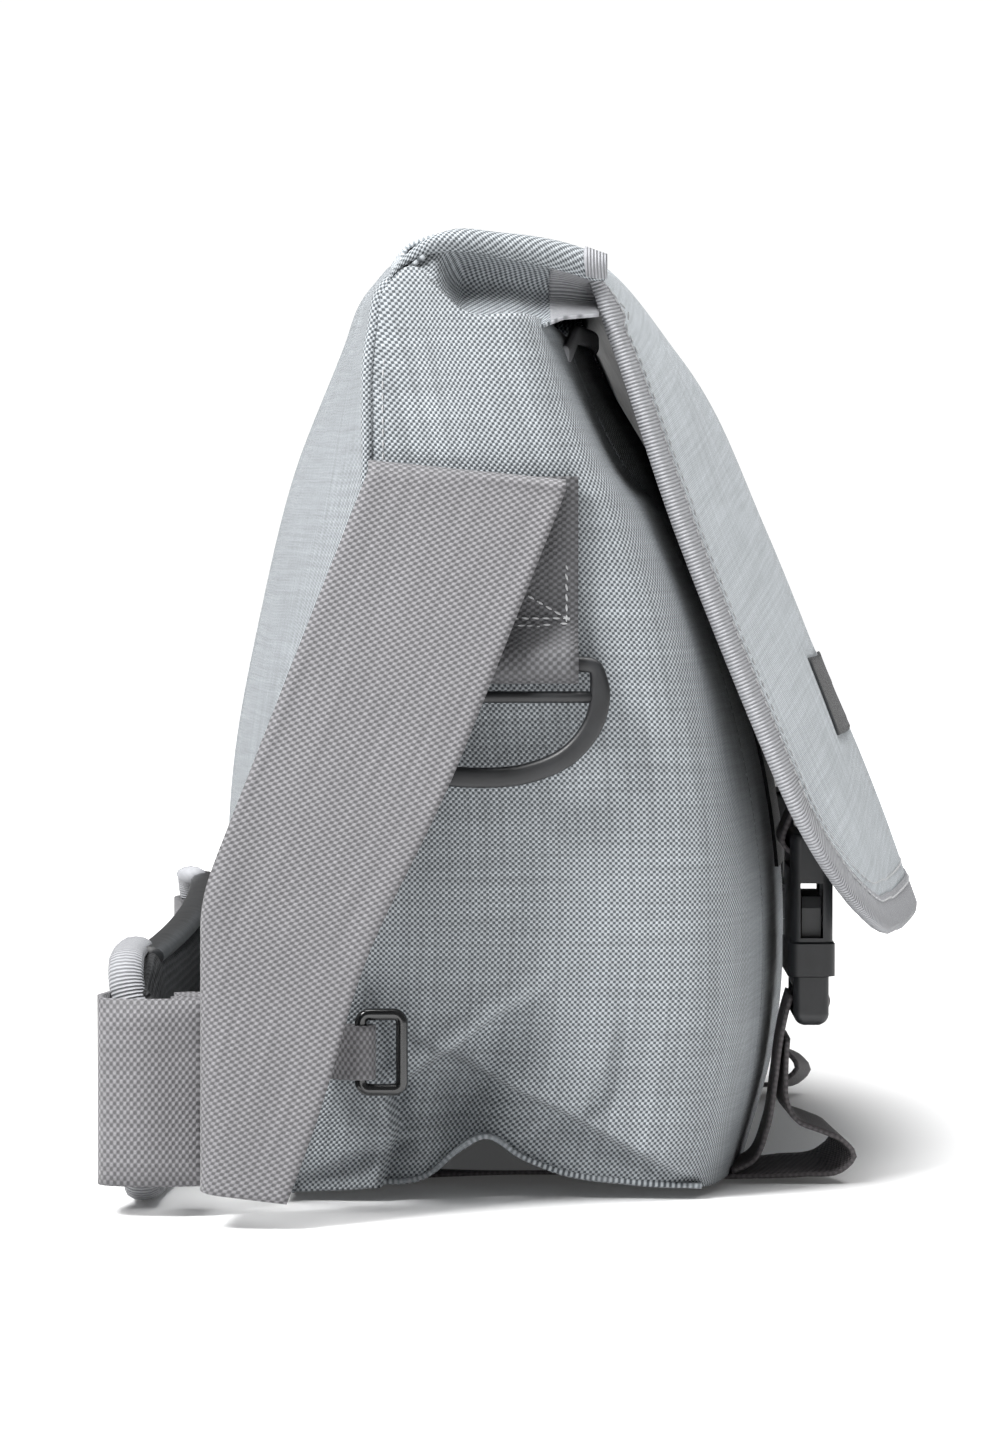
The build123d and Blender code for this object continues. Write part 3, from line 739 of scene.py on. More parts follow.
def flap_grid(lift=0.0):
    """The flap's outside face, from its seam on the back, over the top, to its round-cornered hem."""
    columns, rows, fine = 121, 170, 500
    quarter = math.pi / 2 * 0.92
    s = np.sin(np.linspace(-1, 1, columns) * quarter) / math.sin(quarter)
    grid = np.zeros((rows, columns, 3))
    for j, share in enumerate(s):
        bow = 1 - abs(share) ** 2.1
        line = smooth_line(np.array(FLAP_EDGE, float) * (1 - bow) + np.array(FLAP_MIDDLE, float) * bow, fine)
        inset = max(abs(share) * FLAP_HALF - (FLAP_HALF - FLAP_CORNER), 0)
        low = FLAP_LOW + FLAP_CORNER - math.sqrt(max(FLAP_CORNER**2 - inset**2, 0))
        keep = max(int(np.argmax(line[:, 1] < low)) if (line[:, 1] < low).any() else fine, 10)
        length = lengths(line[:keep])
        grid[:, j, 0] = share * FLAP_HALF
        grid[:, j, 1:] = read_line(np.linspace(0, length[-1], rows), length, line[:keep])
    normal = grid_normals(grid)
    normal *= np.sign((normal * (0, -1, 0.3)).sum(axis=2).mean())
    u, v = grid[..., 0], grid[..., 2]
    ripple = 0.9 * np.sin(u / 34.0 + 0.6) * np.sin(v / 41.0) + 0.5 * np.sin(u / 17.0 - v / 23.0)
    ripple *= ease((240 - v) / 40) * ease((FLAP_HALF - np.abs(u)) / 30)
    return grid + normal * (lift + ripple)[..., None], normal


def flap_boundary(values, first):
    """Values along the flap's free edge: down one side, along the hem and up the other side."""
    return np.concatenate([values[first:, 0], values[-1, 1:], values[-2 : first - 1 : -1, -1]])


def edge_frames(grid, normal):
    """Points along the flap's free edge, with the directions out of the cloth and in from the edge."""
    first = int(np.argmin(np.abs(grid[:, 0, 1] - BINDING_START)))
    edge, up = flap_boundary(grid, first), flap_boundary(normal, first)
    length = lengths(edge)
    at = np.arange(0, length[-1], 1.6)
    edge, up = read_line(at, length, edge), unit(read_line(at, length, up))
    inward = np.cross(up, unit(np.gradient(edge, axis=0)))
    if (inward * (np.array((0, -60, 150)) - edge)).sum(axis=1).mean() < 0:
        inward = -inward
    return edge, up, inward


class BAG_OT_flap(bpy.types.Operator):
    """The flap's cloth and lining, which bend over the bag's top edge, its ribbed binding and the soft top corners"""

    bl_idname = "bag.flap"
    bl_label = "Flap"

    def execute(self, context):
        grid, normal = flap_grid()
        flat = np.stack([grid[..., 0], lengths(grid)], axis=2)
        # The flap's cloth takes the paler weave, which is painted light for the light on the flap.
        cloth = sheet("flap_cloth", grid, 1.2, "woven_nylon_flap", (0, -1, 0.3), flat)
        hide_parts("flap_shell")
        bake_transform(cloth)
        inner = (grid - normal * 1.5)[22:-3, 3:-3]
        lining = sheet("flap_liner", inner, 0.6, "coated_liner", hint=(0, -1, 0.3))
        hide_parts("flap_lining")
        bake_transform(lining)
        self.binding(grid, normal)
        self.top_corners()
        return {"FINISHED"}

    def binding(self, grid, normal):
        """The tape's section is given as distances in from the flap's edge and out of its face."""
        edge, up, inward = edge_frames(grid, normal)
        wide = sizes().binding
        section = np.array([
            (wide, 0.1), (wide, 0.5), (0.8, 0.6), (-0.5, 0.0), (-0.6, -1.2), (0.6, -2.9), (wide, -2.8), (wide, -2.3),
            (1.2, -2.3), (0.2, -1.1), (1.2, 0.1),
        ])
        points = edge[:, None] + inward[:, None] * section[None, :, :1] + up[:, None] * section[None, :, 1:]
        n, k = points.shape[:2]
        uv = np.stack(np.meshgrid(np.arange(k) * 3.0, lengths(edge)), axis=2).reshape(-1, 2)
        tape = raise_mesh("flap_binding_tape", points.reshape(-1, 3), tube_faces(n, k), uv, "grosgrain_tape")
        finish_piece(tape, "flap", "binding_tape", "flap_binding")

    def crest_roll(self):
        """The flap's end at the crest, which rolls down over the bag's corner."""
        inside, flat_share = 156.0, 0.45
        depth, t = np.linspace(29.0, -27.0, 70), np.linspace(0, 1, 26)
        roll = []
        for y, (out, top, drop) in zip(depth, cubic(CREST[:, 0], CREST[:, 1:], depth)):
            turn = ease((t - flat_share) / (1 - flat_share)) * math.pi * 0.85
            radius = drop / 1.9
            x = inside + (out - radius - inside) * np.minimum(t / flat_share, 1.0) + radius * np.sin(turn)
            roll.append(np.stack([-x, np.full(len(t), y), top + 0.8 - radius * (1 - np.cos(turn))], axis=1))
        return np.array(roll)

    def corner_wing(self):
        """The scooped cloth under the roll. Its lower edge tucks in behind the top edge of the end cloth."""
        depth, v = np.linspace(24.0, -25.5, 60), np.linspace(0, 1, 24)[:, None]
        out, crest, lip = cubic(CREST[:, 0], CREST[:, 1:], depth).T[:, None]
        out, high = out - 3.0, crest - lip + 1.6
        foot, low = [np.interp(depth, WING_FOOT[:, 0], WING_FOOT[:, k])[None] for k in (1, 2)]
        dip = 13.0 * np.sin(math.pi * 0.95 * v) ** 0.8 * ease((17.0 - depth) / 8)[None]
        x = -(out + (foot - out) * v - dip)
        return np.stack([x, depth[None] + 0 * v, high + (low - high) * v], axis=2)

    def top_corners(self):
        roll, scoop = self.crest_roll(), self.corner_wing()
        for name, hand in SIDES:
            ear = sheet(f"crest_roll_{name}", on_side(roll, hand), 1.3, "woven_nylon_shell", hint=(-hand, 0, 1))
            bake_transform(ear)
            wing = sheet(f"corner_wing_{name}", on_side(scoop, hand), 1.0, "woven_nylon_shell", hint=(-hand, 0, 0))
            finish_piece(wing, "bag", "shell_cloth")
            tape = roll[-8:, 12:] + (-0.9, -0.6, 0.5)
            end = sheet(f"crest_tape_{name}", on_side(tape, hand), 1.1, "grosgrain_tape", hint=(-hand, 0, 1))
            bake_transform(end)
            strip = on_side(scoop[:, -16:] + (-0.8, 0, 0), hand)
            strip = sheet(f"wing_tape_{name}", strip, 1.0, "grosgrain_tape", hint=(-hand, 0, 0))
            finish_piece(strip, "bag", "binding_tape")


class BAG_OT_label(bpy.types.Operator):
    """A blank black woven label on the flap, with its ends turned under"""

    bl_idname = "bag.label"
    bl_label = "Label"

    def execute(self, context):
        grid, _ = flap_grid(lift=0.35)
        x, z = np.meshgrid(np.linspace(-87, -29, 40), np.linspace(140, 119, 16))
        flat, depth = grid.reshape(-1, 3), np.zeros(x.shape)
        for spot in np.ndindex(x.shape):
            # The flap's depth there, from its four nearest points on the front.
            across, above = flat[:, 0] - x[spot], flat[:, 2] - z[spot]
            near = np.argsort(across**2 + above**2 + 1e3 * (flat[:, 1] > 0))[:4]
            weight = 1 / (np.hypot(across[near], above[near]) + 0.2)
            depth[spot] = (flat[near, 1] * weight).sum() / weight.sum()
        for _ in range(6):
            depth[1:-1, 1:-1] = (depth[:-2, 1:-1] + depth[2:, 1:-1] + depth[1:-1, :-2] + depth[1:-1, 2:]) / 4
        depth -= 0.5 + 0.5 * np.cos(np.linspace(-1, 1, 40) * math.pi / 2)[None]
        label = sheet("blank_label", np.stack([x, depth, z], axis=2), 0.7, "damask_label", hint=(0, -1, 0))
        finish_piece(label, "flap", "label_cloth", "label_patch")
        return {"FINISHED"}


# ---------------------------------------------------------------- shoulder strap
# Depth and height of the fold at the strap's top, its half width there, and how far it leans back for each mm down.
FOLD, STRAP_HALF, RAKE = np.array((8.3, 188.0)), 25.0, 0.392
# Where the webbing's rear edge turns towards the bag's middle, and the turn's radius.
TURN_DEPTH, TURN_RADIUS = 70.0, 5.5


def strap_grid():
    """Hanging webbing: folded over its sewn end, raked back, turned in at its rear edge, its end near the floor."""
    rows, fold_rows = 120, 14
    across = np.linspace(-STRAP_HALF, STRAP_HALF, 26)
    down = np.array((RAKE, -1.0)) / math.hypot(RAKE, 1)
    curl = np.linspace(math.pi, 0, fold_rows, endpoint=False)
    grid = np.zeros((rows, len(across), 3))
    for j, w in enumerate(across):
        depth, top = FOLD + np.array((w, 0.1 * w))
        end = (top - 6.6 - 6.0 * (w + STRAP_HALF) / 50) / -down[1]
        run = np.linspace(0, 1, rows - fold_rows) ** 0.98 * end
        y, z = depth + down[0] * run, top + down[1] * run
        x = -(197.6 + 0.095 * run + 2.2 * np.sin(run / end * math.pi) + 0.5 * np.sin(run / 21 + w / 17))
        y = y + 4.0 * np.exp(-(((z - 68) / 30) ** 2)) * (STRAP_HALF - w) / 50
        over = np.maximum(y - TURN_DEPTH, 0)
        turn = np.minimum(over / TURN_RADIUS, math.pi / 2)
        y = np.minimum(y, TURN_DEPTH) + TURN_RADIUS * np.sin(turn)
        x = x + TURN_RADIUS * (1 - np.cos(turn)) + np.maximum(over - TURN_RADIUS * math.pi / 2, 0)
        fold = [-194.6 - 3.0 * np.cos(curl), np.full(fold_rows, depth), top + 2.7 * np.sin(curl)]
        grid[:fold_rows, j] = np.stack(fold, axis=1)
        grid[fold_rows:, j] = np.stack([x, y, z], axis=1)
    return grid


class BAG_OT_strap(bpy.types.Operator):
    """The shoulder strap: hanging webbing at both ends, webbing standing behind the bag, and the padded sleeve"""

    bl_idname = "bag.strap"
    bl_label = "Shoulder strap"

    def execute(self, context):
        grid = strap_grid()
        for name, hand in SIDES:
            piece = sheet(f"strap_fall_{name}", on_side(grid, hand), 1.5, "webbing_strap", hint=(-hand, 0, 0))
            finish_piece(piece, "strap", "strap_webbing", f"shoulder_strap_{name}")
        near = [
            (-171, 73), (-169.5, 80), (-171.5, 83.6), (-175, 80), (-178.5, 75), (-181, 80), (-183.5, 83.6),
            (-185.6, 79), (-188, 76), (-190, 84), (-190.2, 94), (-187, 101.2), (-180, 102.6), (-165, 100.2),
            (-100, 96.6), (-40, 94.4),
        ]
        path = np.insert(smooth_line(near + [(-x, y) for x, y in near[::-1]], 420), 2, 32.0, axis=1)
        band = ribbon("rear_web", path, (0, 0, 1), 48.0, 1.4, "webbing_strap", 9)
        finish_piece(band, "strap", "strap_webbing", "rear_webbing")
        self.pad()
        return {"FINISHED"}

    def middle_line(self, half, count, depth, height):
        """A line along the pad, which bows forward in its middle."""
        x = np.linspace(-half, half, count)
        return np.stack([x, depth + 4.2 * (x / 160) ** 2, np.full(count, height)], axis=1)

    def pad(self):
        path = self.middle_line(172, 130, 88.4, 33.4)
        circle = oval(1.0, 1.0, 32)
        shape = np.sign(circle) * np.abs(circle) ** (0.8, 0.45) * (3.1, 32.0)
        taper = 1 - 0.30 * ease((np.abs(path[:, 0]) - 150) / 26)
        sections = np.stack([shape * (1.0, k) for k in taper])
        pad = sweep("shoulder_pad", path, (0, 0, 1), sections, "spacer_mesh")
        self.puff(pad)
        finish_piece(pad, "strap", "pad_mesh", "strap_pad")
        edge = np.linspace(-1.0, 1.0, 60)
        bend = np.sqrt(np.maximum(1 - edge**2, 0)) ** 0.6
        place = np.stack([-(157.0 + 16.0 * bend), np.full(60, 92.8), 33.9 + 30.6 * edge], axis=1)
        place = np.concatenate([[(-120, 90.8, 3.0)], place, [(-140, 91.8, 65.6)]])
        place[:, 1] += 4.0 * ease((place[:, 2] - 40) / 22)
        place = smooth_line(place, 110)
        for name, hand in SIDES:
            tape = sweep(f"pad_tape_{name}", on_side(place, hand), (0, 1, 0), oval(2.6, 4.6, 12), "grosgrain_tape")
            finish_piece(tape, "strap", "binding_tape", *(["pad_binding"] if name == "left" else []))
        top = self.middle_line(150, 110, 88.6, 63.4)
        finish_piece(sweep("pad_top_roll", top, (0, 0, 1), oval(4.3, 2.8, 16), "coated_liner"), "strap", "pad_mesh")

    def puff(self, pad):
        """Swells the pad's foam with a short cloth simulation, and keeps every point within reach of its place."""
        frames, reach = 12, 0.002
        rest = np.array([v.co for v in pad.data.vertices])
        context = bpy.context
        context.view_layer.objects.active = pad
        pad.select_set(True)
        cloth = pad.modifiers.new("swell", "CLOTH")
        cloth.settings.use_pressure = True
        cloth.settings.uniform_pressure_force = 4.0
        cloth.settings.effector_weights.gravity = 0.0
        cloth.point_cache.frame_start, cloth.point_cache.frame_end = 1, frames
        for step in range(1, frames + 1):
            context.scene.frame_set(step)
        swollen = pad.evaluated_get(context.evaluated_depsgraph_get()).to_mesh()
        moved = np.array([v.co for v in swollen.vertices]) - rest
        pad.evaluated_get(context.evaluated_depsgraph_get()).to_mesh_clear()
        pad.modifiers.remove(cloth)
        context.scene.frame_set(1)
        far = np.linalg.norm(moved, axis=1, keepdims=True)
        moved *= np.minimum(1.0, reach / np.maximum(far, 1e-9))
        for vertex, place in zip(pad.data.vertices, rest + moved):
            vertex.co = place


# ---------------------------------------------------------------- rings and their webbing
# Middles of the left D ring's bar and of the left small ring's bar.
RING_MIDDLE = np.array((-192.0, 4.6, 141.5))
SMALL_RING_DEPTH, SMALL_RING_HEIGHT = 35.9, 41.0


class BAG_OT_ring_tabs(bpy.types.Operator):
    """Webbing sewn to each end with a loop for the D ring, and the narrow tab of the small ring"""

    bl_idname = "bag.ring_tabs"
    bl_label = "Ring webbing"

    def execute(self, context):
        anchor = [
            (-190.9, 189), (-190.9, 170), (-191.2, 150), (-193.4, 147.2), (-196.3, 143.5), (-196.3, 139.5),
            (-193.6, 137.2), (-190.2, 137.6), (-188.1, 141), (-188.4, 147), (-189.0, 150),
        ]
        anchor = np.insert(smooth_line(anchor, 110), 1, RING_MIDDLE[1], axis=1)
        loop = [
            (-169.0, 48.4), (-172.6, 44.5), (-177.0, 40.4), (-178.8, 36.2), (-177.4, 33.1), (-174.4, 32.4),
            (-172.3, 34.6), (-172.3, 39.6), (-168.4, 45.0),
        ]
        loop = np.insert(smooth_line(loop, 60), 2, SMALL_RING_HEIGHT, axis=1)
        for name, hand in SIDES:
            web = ribbon(f"anchor_web_{name}", on_side(anchor, hand), (0, 1, 0), 49.0, 1.3, "webbing_anchor", 15)
            finish_piece(web, "bag", "anchor_webbing", f"strap_anchor_{name}")
            tab = ribbon(f"small_tab_{name}", on_side(loop, hand), (0, 0, 1), 14.0, 0.8, "webbing_strap", 9)
            finish_piece(tab, "bag", "strap_webbing", f"side_ring_tab_{name}")
        return {"FINISHED"}


class BAG_OT_rings(bpy.types.Operator):
    """The slotted D rings and the small glossy side rings, with moulded rounded sections"""

    bl_idname = "bag.rings"
    bl_label = "Rings"

    def execute(self, context):
        bow = [
            (-24, 0.0), (0, 0.0), (24, 0.0), (28.6, -0.9), (29.8, -5.0), (29.2, -13.0), (22.5, -22.8), (11, -28.0),
            (0, -29.0), (-11, -28.0), (-22.5, -22.8), (-29.2, -13.0), (-29.8, -5.0), (-28.6, -0.9),
        ]
        closed = smooth_line([*bow, bow[0]], 180)[:-1]
        loop = np.insert(closed, 0, 0.0, axis=1) + RING_MIDDLE
        # The bow is thicker than the bar its webbing runs over.
        wide = np.where(closed[:, 1] > -1.4, 4.0, 4.0 + 1.2 * ease((-closed[:, 1] - 1.4) / 6))
        sections = np.stack([np.array(rounded(w, 4.0, 1.3)) for w in wide])
        bar = smooth_line(np.array([(0, -28.4, -8.5), (0, 0, -8.5), (0, 28.4, -8.5)]) + RING_MIDDLE, 12)
        small = np.array(rounded(10.6, 19.5, 2.2, 9)) + (SMALL_RING_DEPTH - 5.35, SMALL_RING_HEIGHT)
        small = np.insert(small, 0, -175.5, axis=1)
        up = (1, 0, 0)
        for name, hand in SIDES:
            ring = sweep(f"d_ring_bow_{name}", on_side(loop, hand), up, sections, "acetal_matt", closed=True)
            finish_piece(ring, f"ring_{name}", "ring_plastic", f"d_ring_{name}")
            cross = sweep(f"d_ring_bar_{name}", on_side(bar, hand), up, rounded(3.0, 3.6, 1.2), "acetal_matt")
            finish_piece(cross, f"ring_{name}", "ring_plastic")
            section = rounded(3.1, 3.4, 1.4)
            piece = sweep(f"small_ring_{name}", on_side(small, hand), up, section, "acetal_gloss", closed=True)
            finish_piece(piece, f"side_ring_{name}", "small_ring_plastic", f"side_ring_{name}")
        return {"FINISHED"}


class BAG_OT_moulded(bpy.types.Operator):
    """Finishes of the buckles, the cam adjuster and the touch-fastening strips, whose shapes come from the frame"""

    bl_idname = "bag.moulded"
    bl_label = "Moulded parts"

    def execute(self, context):
        wanted = {
            "buckle_": "acetal_matt",
            "cam_buckle": "acetal_matt",
            "cam_buckle_pin": "drawn_steel",
            "hook_strips": "hook_and_loop_nap",
            "loop_strips": "hook_and_loop_nap",
        }
        for name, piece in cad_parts.items():
            for start, finish in wanted.items():
                if name.startswith(start):
                    piece.data.materials.clear()
                    piece.data.materials.append(bpy.data.materials[finish])
        return {"FINISHED"}


# Each closing strap's pieces, as lines of depth and height.
LOAD_STRAND = [(-62, 3.2), (-67.6, 6), (-71.6, 15), (-73.6, 27), (-75.0, 38), (-76.6, 46), (-77.9, 50.5)]
SLACK_TAIL = [
    (-77.0, 39), (-76.0, 30), (-75.9, 22.5), (-77.8, 18.2), (-84.0, 15.4), (-90.0, 12.6), (-92.4, 9), (-89, 5.2),
    (-78, 3.6), (-64, 2.6), (-40, 1.5), (-10, 1.6), (34, 1.4),
]
SOCKET_WEB = [
    (-81.2, 112), (-83.6, 104), (-87.6, 97), (-90.0, 92), (-89.4, 88.6), (-85, 88.4), (-78, 88.6), (-75.6, 91),
    (-77, 97), (-81.6, 104),
]
PLUG_WEB = [
    (-80.4, 46.2), (-83, 45.6), (-86.0, 46.0), (-87.6, 49), (-86, 52.2), (-83, 52.4), (-80.4, 51.6), (-79.6, 49),
]
CLOSING_MIDDLE = -105.0


class BAG_OT_closing_straps(bpy.types.Operator):
    """The 25 mm closing straps: tab on the socket, bight round the plug, load strand and slack tail"""

    bl_idname = "bag.closing_straps"
    bl_label = "Closing straps"

    def execute(self, context):
        straight, count = (1, 0, 0), 90
        turn = np.linspace(0, 1, count) * math.pi
        twist = np.stack([np.ones(count), 0.34 * np.sin(turn) ** 1.2, 0.12 * np.sin(turn * 2)], axis=1)
        for side in SIDES:
            name = side[0]
            self.web("load_strand", side, LOAD_STRAND, 60, straight, "bag", f"front_strap_{name}")
            self.web("slack_tail", side, SLACK_TAIL, count, twist, "bag", f"front_strap_tail_{name}")
            self.web("socket_web", side, SOCKET_WEB, 60, straight, "flap", f"socket_tab_{name}")
            self.web("plug_web", side, PLUG_WEB, 60, straight, f"plug_{name}", f"plug_webbing_{name}")
        return {"FINISHED"}

    def web(self, label, side, line, count, across, body, node):
        name, hand = side
        path = np.insert(smooth_line(line, count), 0, CLOSING_MIDDLE, axis=1)
        across = on_side(across, hand)
        piece = ribbon(f"{label}_{name}", on_side(path, hand), across, 24.5, 1.2, "webbing_closing", 9)
        finish_piece(piece, body, "front_webbing", node)


# ---------------------------------------------------------------- stitching
STITCH_FILLED = 0.68


def stitch_tree():
    """Stitches along any line: short capsules of thread laid end to end, each half sunk into the cloth."""
    tree = bpy.data.node_groups.new("stitches", "GeometryNodeTree")
    tree.interface.new_socket("Geometry", in_out="INPUT", socket_type="NodeSocketGeometry")
    for label, value in (("Pitch", 0.0032), ("Thread", 0.00032), ("Filled", STITCH_FILLED)):
        tree.interface.new_socket(label, in_out="INPUT", socket_type="NodeSocketFloat").default_value = value
    tree.interface.new_socket("Finish", in_out="INPUT", socket_type="NodeSocketMaterial")
    tree.interface.new_socket("Geometry", in_out="OUTPUT", socket_type="NodeSocketGeometry")
    source, result = add(tree, "NodeGroupInput").outputs, add(tree, "NodeGroupOutput")
    points = add(
        tree, "GeometryNodeCurveToPoints", {"Curve": source["Geometry"], "Length": source["Pitch"]}, mode="LENGTH"
    )
    long = maths(tree, source["Pitch"], source["Filled"])
    shape = {"Vertices": 6, "Side Segments": 3, "Radius": source["Thread"], "Depth": long}
    capsule = add(tree, "GeometryNodeMeshCylinder", shape)
    # Each capsule narrows towards its ends.
    place = add(tree, "GeometryNodeInputPosition").outputs[0]
    parts = add(tree, "ShaderNodeSeparateXYZ", {"Vector": place})
    ratio = maths(tree, parts.outputs[2], long, "DIVIDE")
    square = maths(tree, ratio, ratio)
    pinch = add(tree, "ShaderNodeMath", {0: square, 1: -2.6, 2: 1.0}, operation="MULTIPLY_ADD").outputs[0]
    scale = add(tree, "ShaderNodeCombineXYZ", {"X": pinch, "Y": pinch, "Z": 1.0}).outputs[0]
    shaped = {"Geometry": capsule.outputs["Mesh"], "Position": vectors(tree, place, scale)}
    stitches = add(tree, "GeometryNodeSetPosition", shaped).outputs[0]
    turn = add(tree, "FunctionNodeAlignRotationToVector", {"Vector": points.outputs["Tangent"]}, axis="Z").outputs[0]
    laid = {"Points": points.outputs["Points"], "Instance": stitches, "Rotation": turn}
    laid = add(tree, "GeometryNodeInstanceOnPoints", laid).outputs[0]
    real = add(tree, "GeometryNodeRealizeInstances", {"Geometry": laid}).outputs[0]
    painted = add(tree, "GeometryNodeSetMaterial", {"Geometry": real, "Material": source["Finish"]})
    tree.links.new(painted.outputs[0], result.inputs[0])
    return tree


def stitch(name, lines, body, tree, pitch, thread=0.32):
    """Sews along each line of points, and leaves a plain mesh on the body."""
    curve = bpy.data.curves.new(name, "CURVE")
    curve.dimensions = "3D"
    for line in lines:
        spots = to_frame(line)
        spline = curve.splines.new("POLY")
        spline.points.add(len(spots) - 1)
        for point, spot in zip(spline.points, spots):
            point.co = (*spot, 1.0)
    holder = link_object(name + "_line", curve)
    sewing = holder.modifiers.new("stitches", "NODES")
    sewing.node_group = tree
    keys = {item.name: item.identifier for item in tree.interface.items_tree if item.in_out == "INPUT"}
    sewing[keys["Pitch"]] = pitch / 1000
    sewing[keys["Thread"]] = thread / 1000
    sewing[keys["Filled"]] = STITCH_FILLED
    sewing[keys["Finish"]] = bpy.data.materials["polyester_thread"]
    shape = bpy.data.meshes.new_from_object(holder.evaluated_get(bpy.context.evaluated_depsgraph_get()))
    holder.modifiers.clear()
    bpy.data.objects.remove(holder)
    shape.name = name
    piece = link_object(name, shape)
    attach(piece, body)


class BAG_OT_stitching(bpy.types.Operator):
    """Seams and rows of stitches on the binding, flap, anchors and back seam"""

    bl_idname = "bag.stitching"
    bl_label = "Stitching"

    def execute(self, context):
        tree = stitch_tree()
        edge, up, inward = edge_frames(*flap_grid())
        wide = sizes().binding
        # A row on the binding tape and one on the cloth beside it: points left out at the ends, distance past the
        # tape's inner edge, and height over the cloth.
        rows = []
        for n, past, high in ((3, -1.6, 0.6), (6, 3.6, 0.12)):
            rows.append(edge[n:-n] + inward[n:-n] * (wide + past) + up[n:-n] * high)
        stitch("flap_seams", rows, "flap", tree, sizes().stitch)
        # On each anchor: a box with its diagonals, and a zigzag under it.
        y, half, low, high = RING_MIDDLE[1], 21.5, 153, 178
        box = [(-half, low), (half, low), (half, high), (-half, high), (-half, low)]
        lines = [[(-191.1, y + a, z) for a, z in box]]
        lines += [[(-191.1, y - way * half, low), (-191.1, y + way * half, high)] for way in (1, -1)]
        lines += [[(-191.2, y - 23 + k * 2.4, 150.2 + 1.6 * (k % 2)) for k in range(20)]]
        seam = back_corner(np.linspace(30, 236, 90), -0.4, -3.6)
        for name, hand in SIDES:
            stitch(f"anchor_seams_{name}", [on_side(line, hand) for line in lines], "bag", tree, 2.6)
            stitch(f"back_seam_{name}", [on_side(seam, hand)], "bag", tree, 3.0, 0.24)
        return {"FINISHED"}


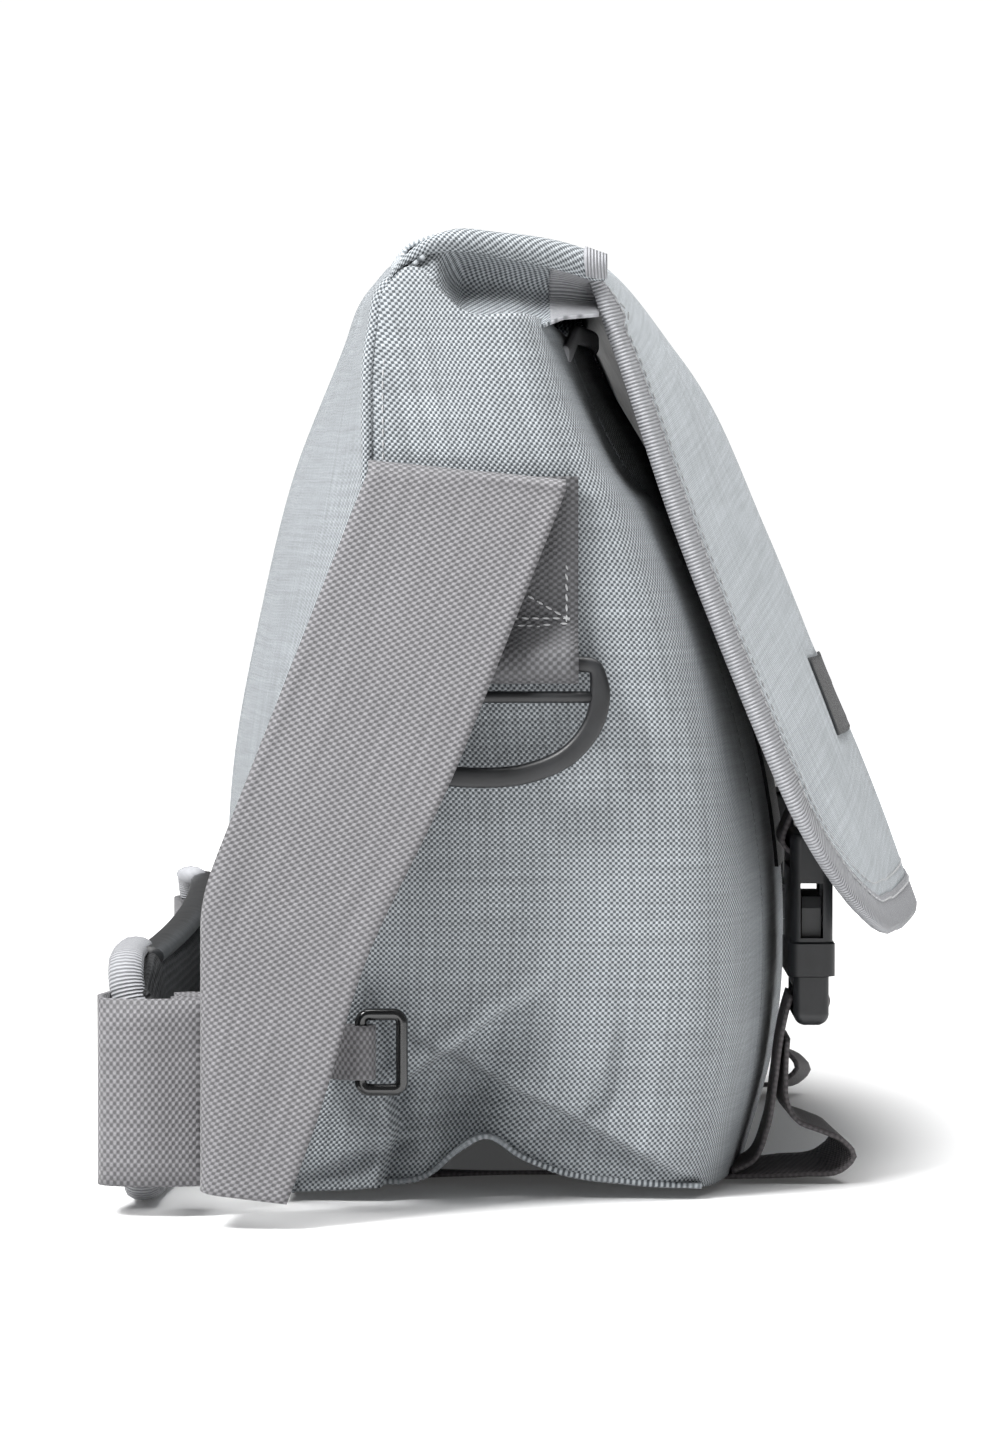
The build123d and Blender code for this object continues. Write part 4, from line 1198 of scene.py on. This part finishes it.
# ---------------------------------------------------------------- stage
class BAG_OT_stage(bpy.types.Operator):
    """Pale floor, soft daylight from the camera's side and above, and a long-lens camera level with the bag's end"""

    bl_idname = "bag.stage"
    bl_label = "Stage"

    # The camera: lens and film in mm, how far it stands from the bag, its height, and its tilt down in degrees.
    lens, film, distance, height, tilt = 147.7, 36.0, 1690.0, 188.0, 2.32
    # Each lamp's place, what it points at, its width and its power.
    lamps = (
        ("soft_key", (-1.05, 0.85, 1.3), (-0.15, 0.0, 0.13), 0.5, 46.0),
        ("soft_top", (-0.2, -0.1, 1.5), (0.0, 0.0, 0.1), 1.1, 31.0),
    )

    def execute(self, context):
        scene = context.scene
        eye = bpy.data.cameras.new("end_view")
        eye.lens, eye.sensor_width, eye.clip_start = self.lens, self.film, 0.05
        camera = link_object("end_view", eye)
        camera.location = to_frame((-self.distance, 0.0, self.height))
        camera.rotation_euler = (math.radians(90 - self.tilt), 0.0, math.radians(-90))
        scene.camera = camera
        self.floor()
        world = bpy.data.worlds.new("daylight")
        world.use_nodes = True
        sky, ground = world.node_tree, world.node_tree.nodes["Background"]
        # The camera sees a white background; the bag is lit by a dimmer one.
        seen = add(sky, "ShaderNodeLightPath").outputs["Is Camera Ray"]
        ground.inputs["Color"].default_value = (1.0, 1.0, 1.0, 1.0)
        sky.links.new(remap(sky, seen, 0.0, 1.0, 0.22, 1.05), ground.inputs["Strength"])
        scene.world = world
        scene.view_settings.view_transform = "Standard"
        for name, place, aim, wide, power in self.lamps:
            lamp = bpy.data.lights.new(name, "AREA")
            lamp.size, lamp.energy = wide, power
            light = link_object(name, lamp)
            light.location = place
            light.rotation_euler = (Vector(aim) - Vector(place)).to_track_quat("-Z", "Y").to_euler()
        return {"FINISHED"}

    def floor(self):
        """A pale floor that glows more with distance, until it meets the background."""
        tree, body = start_finish("painted_floor", 0.9)
        body.inputs["Base Color"].default_value = linear("#f6f6f6")
        body.inputs["Emission Color"].default_value = (1.0, 1.0, 1.0, 1.0)
        far = add(tree, "ShaderNodeVectorMath", {0: solid_place(tree)}, operation="LENGTH").outputs["Value"]
        glow = remap(tree, far, 0.35, 1.3, 0.04, 0.88, "SMOOTHSTEP")
        tree.links.new(glow, body.inputs["Emission Strength"])
        half, level = 6, -0.0002
        corners = [(x * half, y * half, level) for x, y in ((-1, -1), (1, -1), (1, 1), (-1, 1))]
        floor = bpy.data.meshes.new("floor")
        floor.from_pydata(corners, [], [(0, 1, 2, 3)])
        floor.materials.append(bpy.data.materials["painted_floor"])
        ground = link_object("floor", floor)


OPERATORS = (
    BAG_OT_stage,
    BAG_OT_shell,
    BAG_OT_lining,
    BAG_OT_flap,
    BAG_OT_label,
    BAG_OT_strap,
    BAG_OT_ring_tabs,
    BAG_OT_rings,
    BAG_OT_moulded,
    BAG_OT_closing_straps,
    BAG_OT_stitching,
)


class BAG_PT_sidebar(bpy.types.Panel):
    """Lists the bag's pieces, sizes and colours"""

    bl_label = "Courier bag"
    bl_idname = "BAG_PT_sidebar"
    bl_space_type = "VIEW_3D"
    bl_region_type = "UI"
    bl_category = "Courier bag"

    def draw(self, context):
        for group in (context.scene.bag_sizes, context.scene.bag_colours):
            for name in group.bl_rna.properties.keys():
                if name not in ("rna_type", "name"):
                    self.layout.prop(group, name)
        for made in OPERATORS:
            self.layout.operator(made.bl_idname)


CLASSES = (BagSizes, BagColours, *OPERATORS, BAG_PT_sidebar)


def register():
    for made in CLASSES:
        bpy.utils.register_class(made)
    bpy.types.Scene.bag_sizes = bpy.props.PointerProperty(type=BagSizes)
    bpy.types.Scene.bag_colours = bpy.props.PointerProperty(type=BagColours)


def unregister():
    del bpy.types.Scene.bag_sizes
    del bpy.types.Scene.bag_colours
    for made in reversed(CLASSES):
        bpy.utils.unregister_class(made)


def main():
    register()
    make_finishes()
    for made in OPERATORS:
        group, name = made.bl_idname.split(".")
        getattr(getattr(bpy.ops, group), name)()


if __name__ == "__main__":
    main()
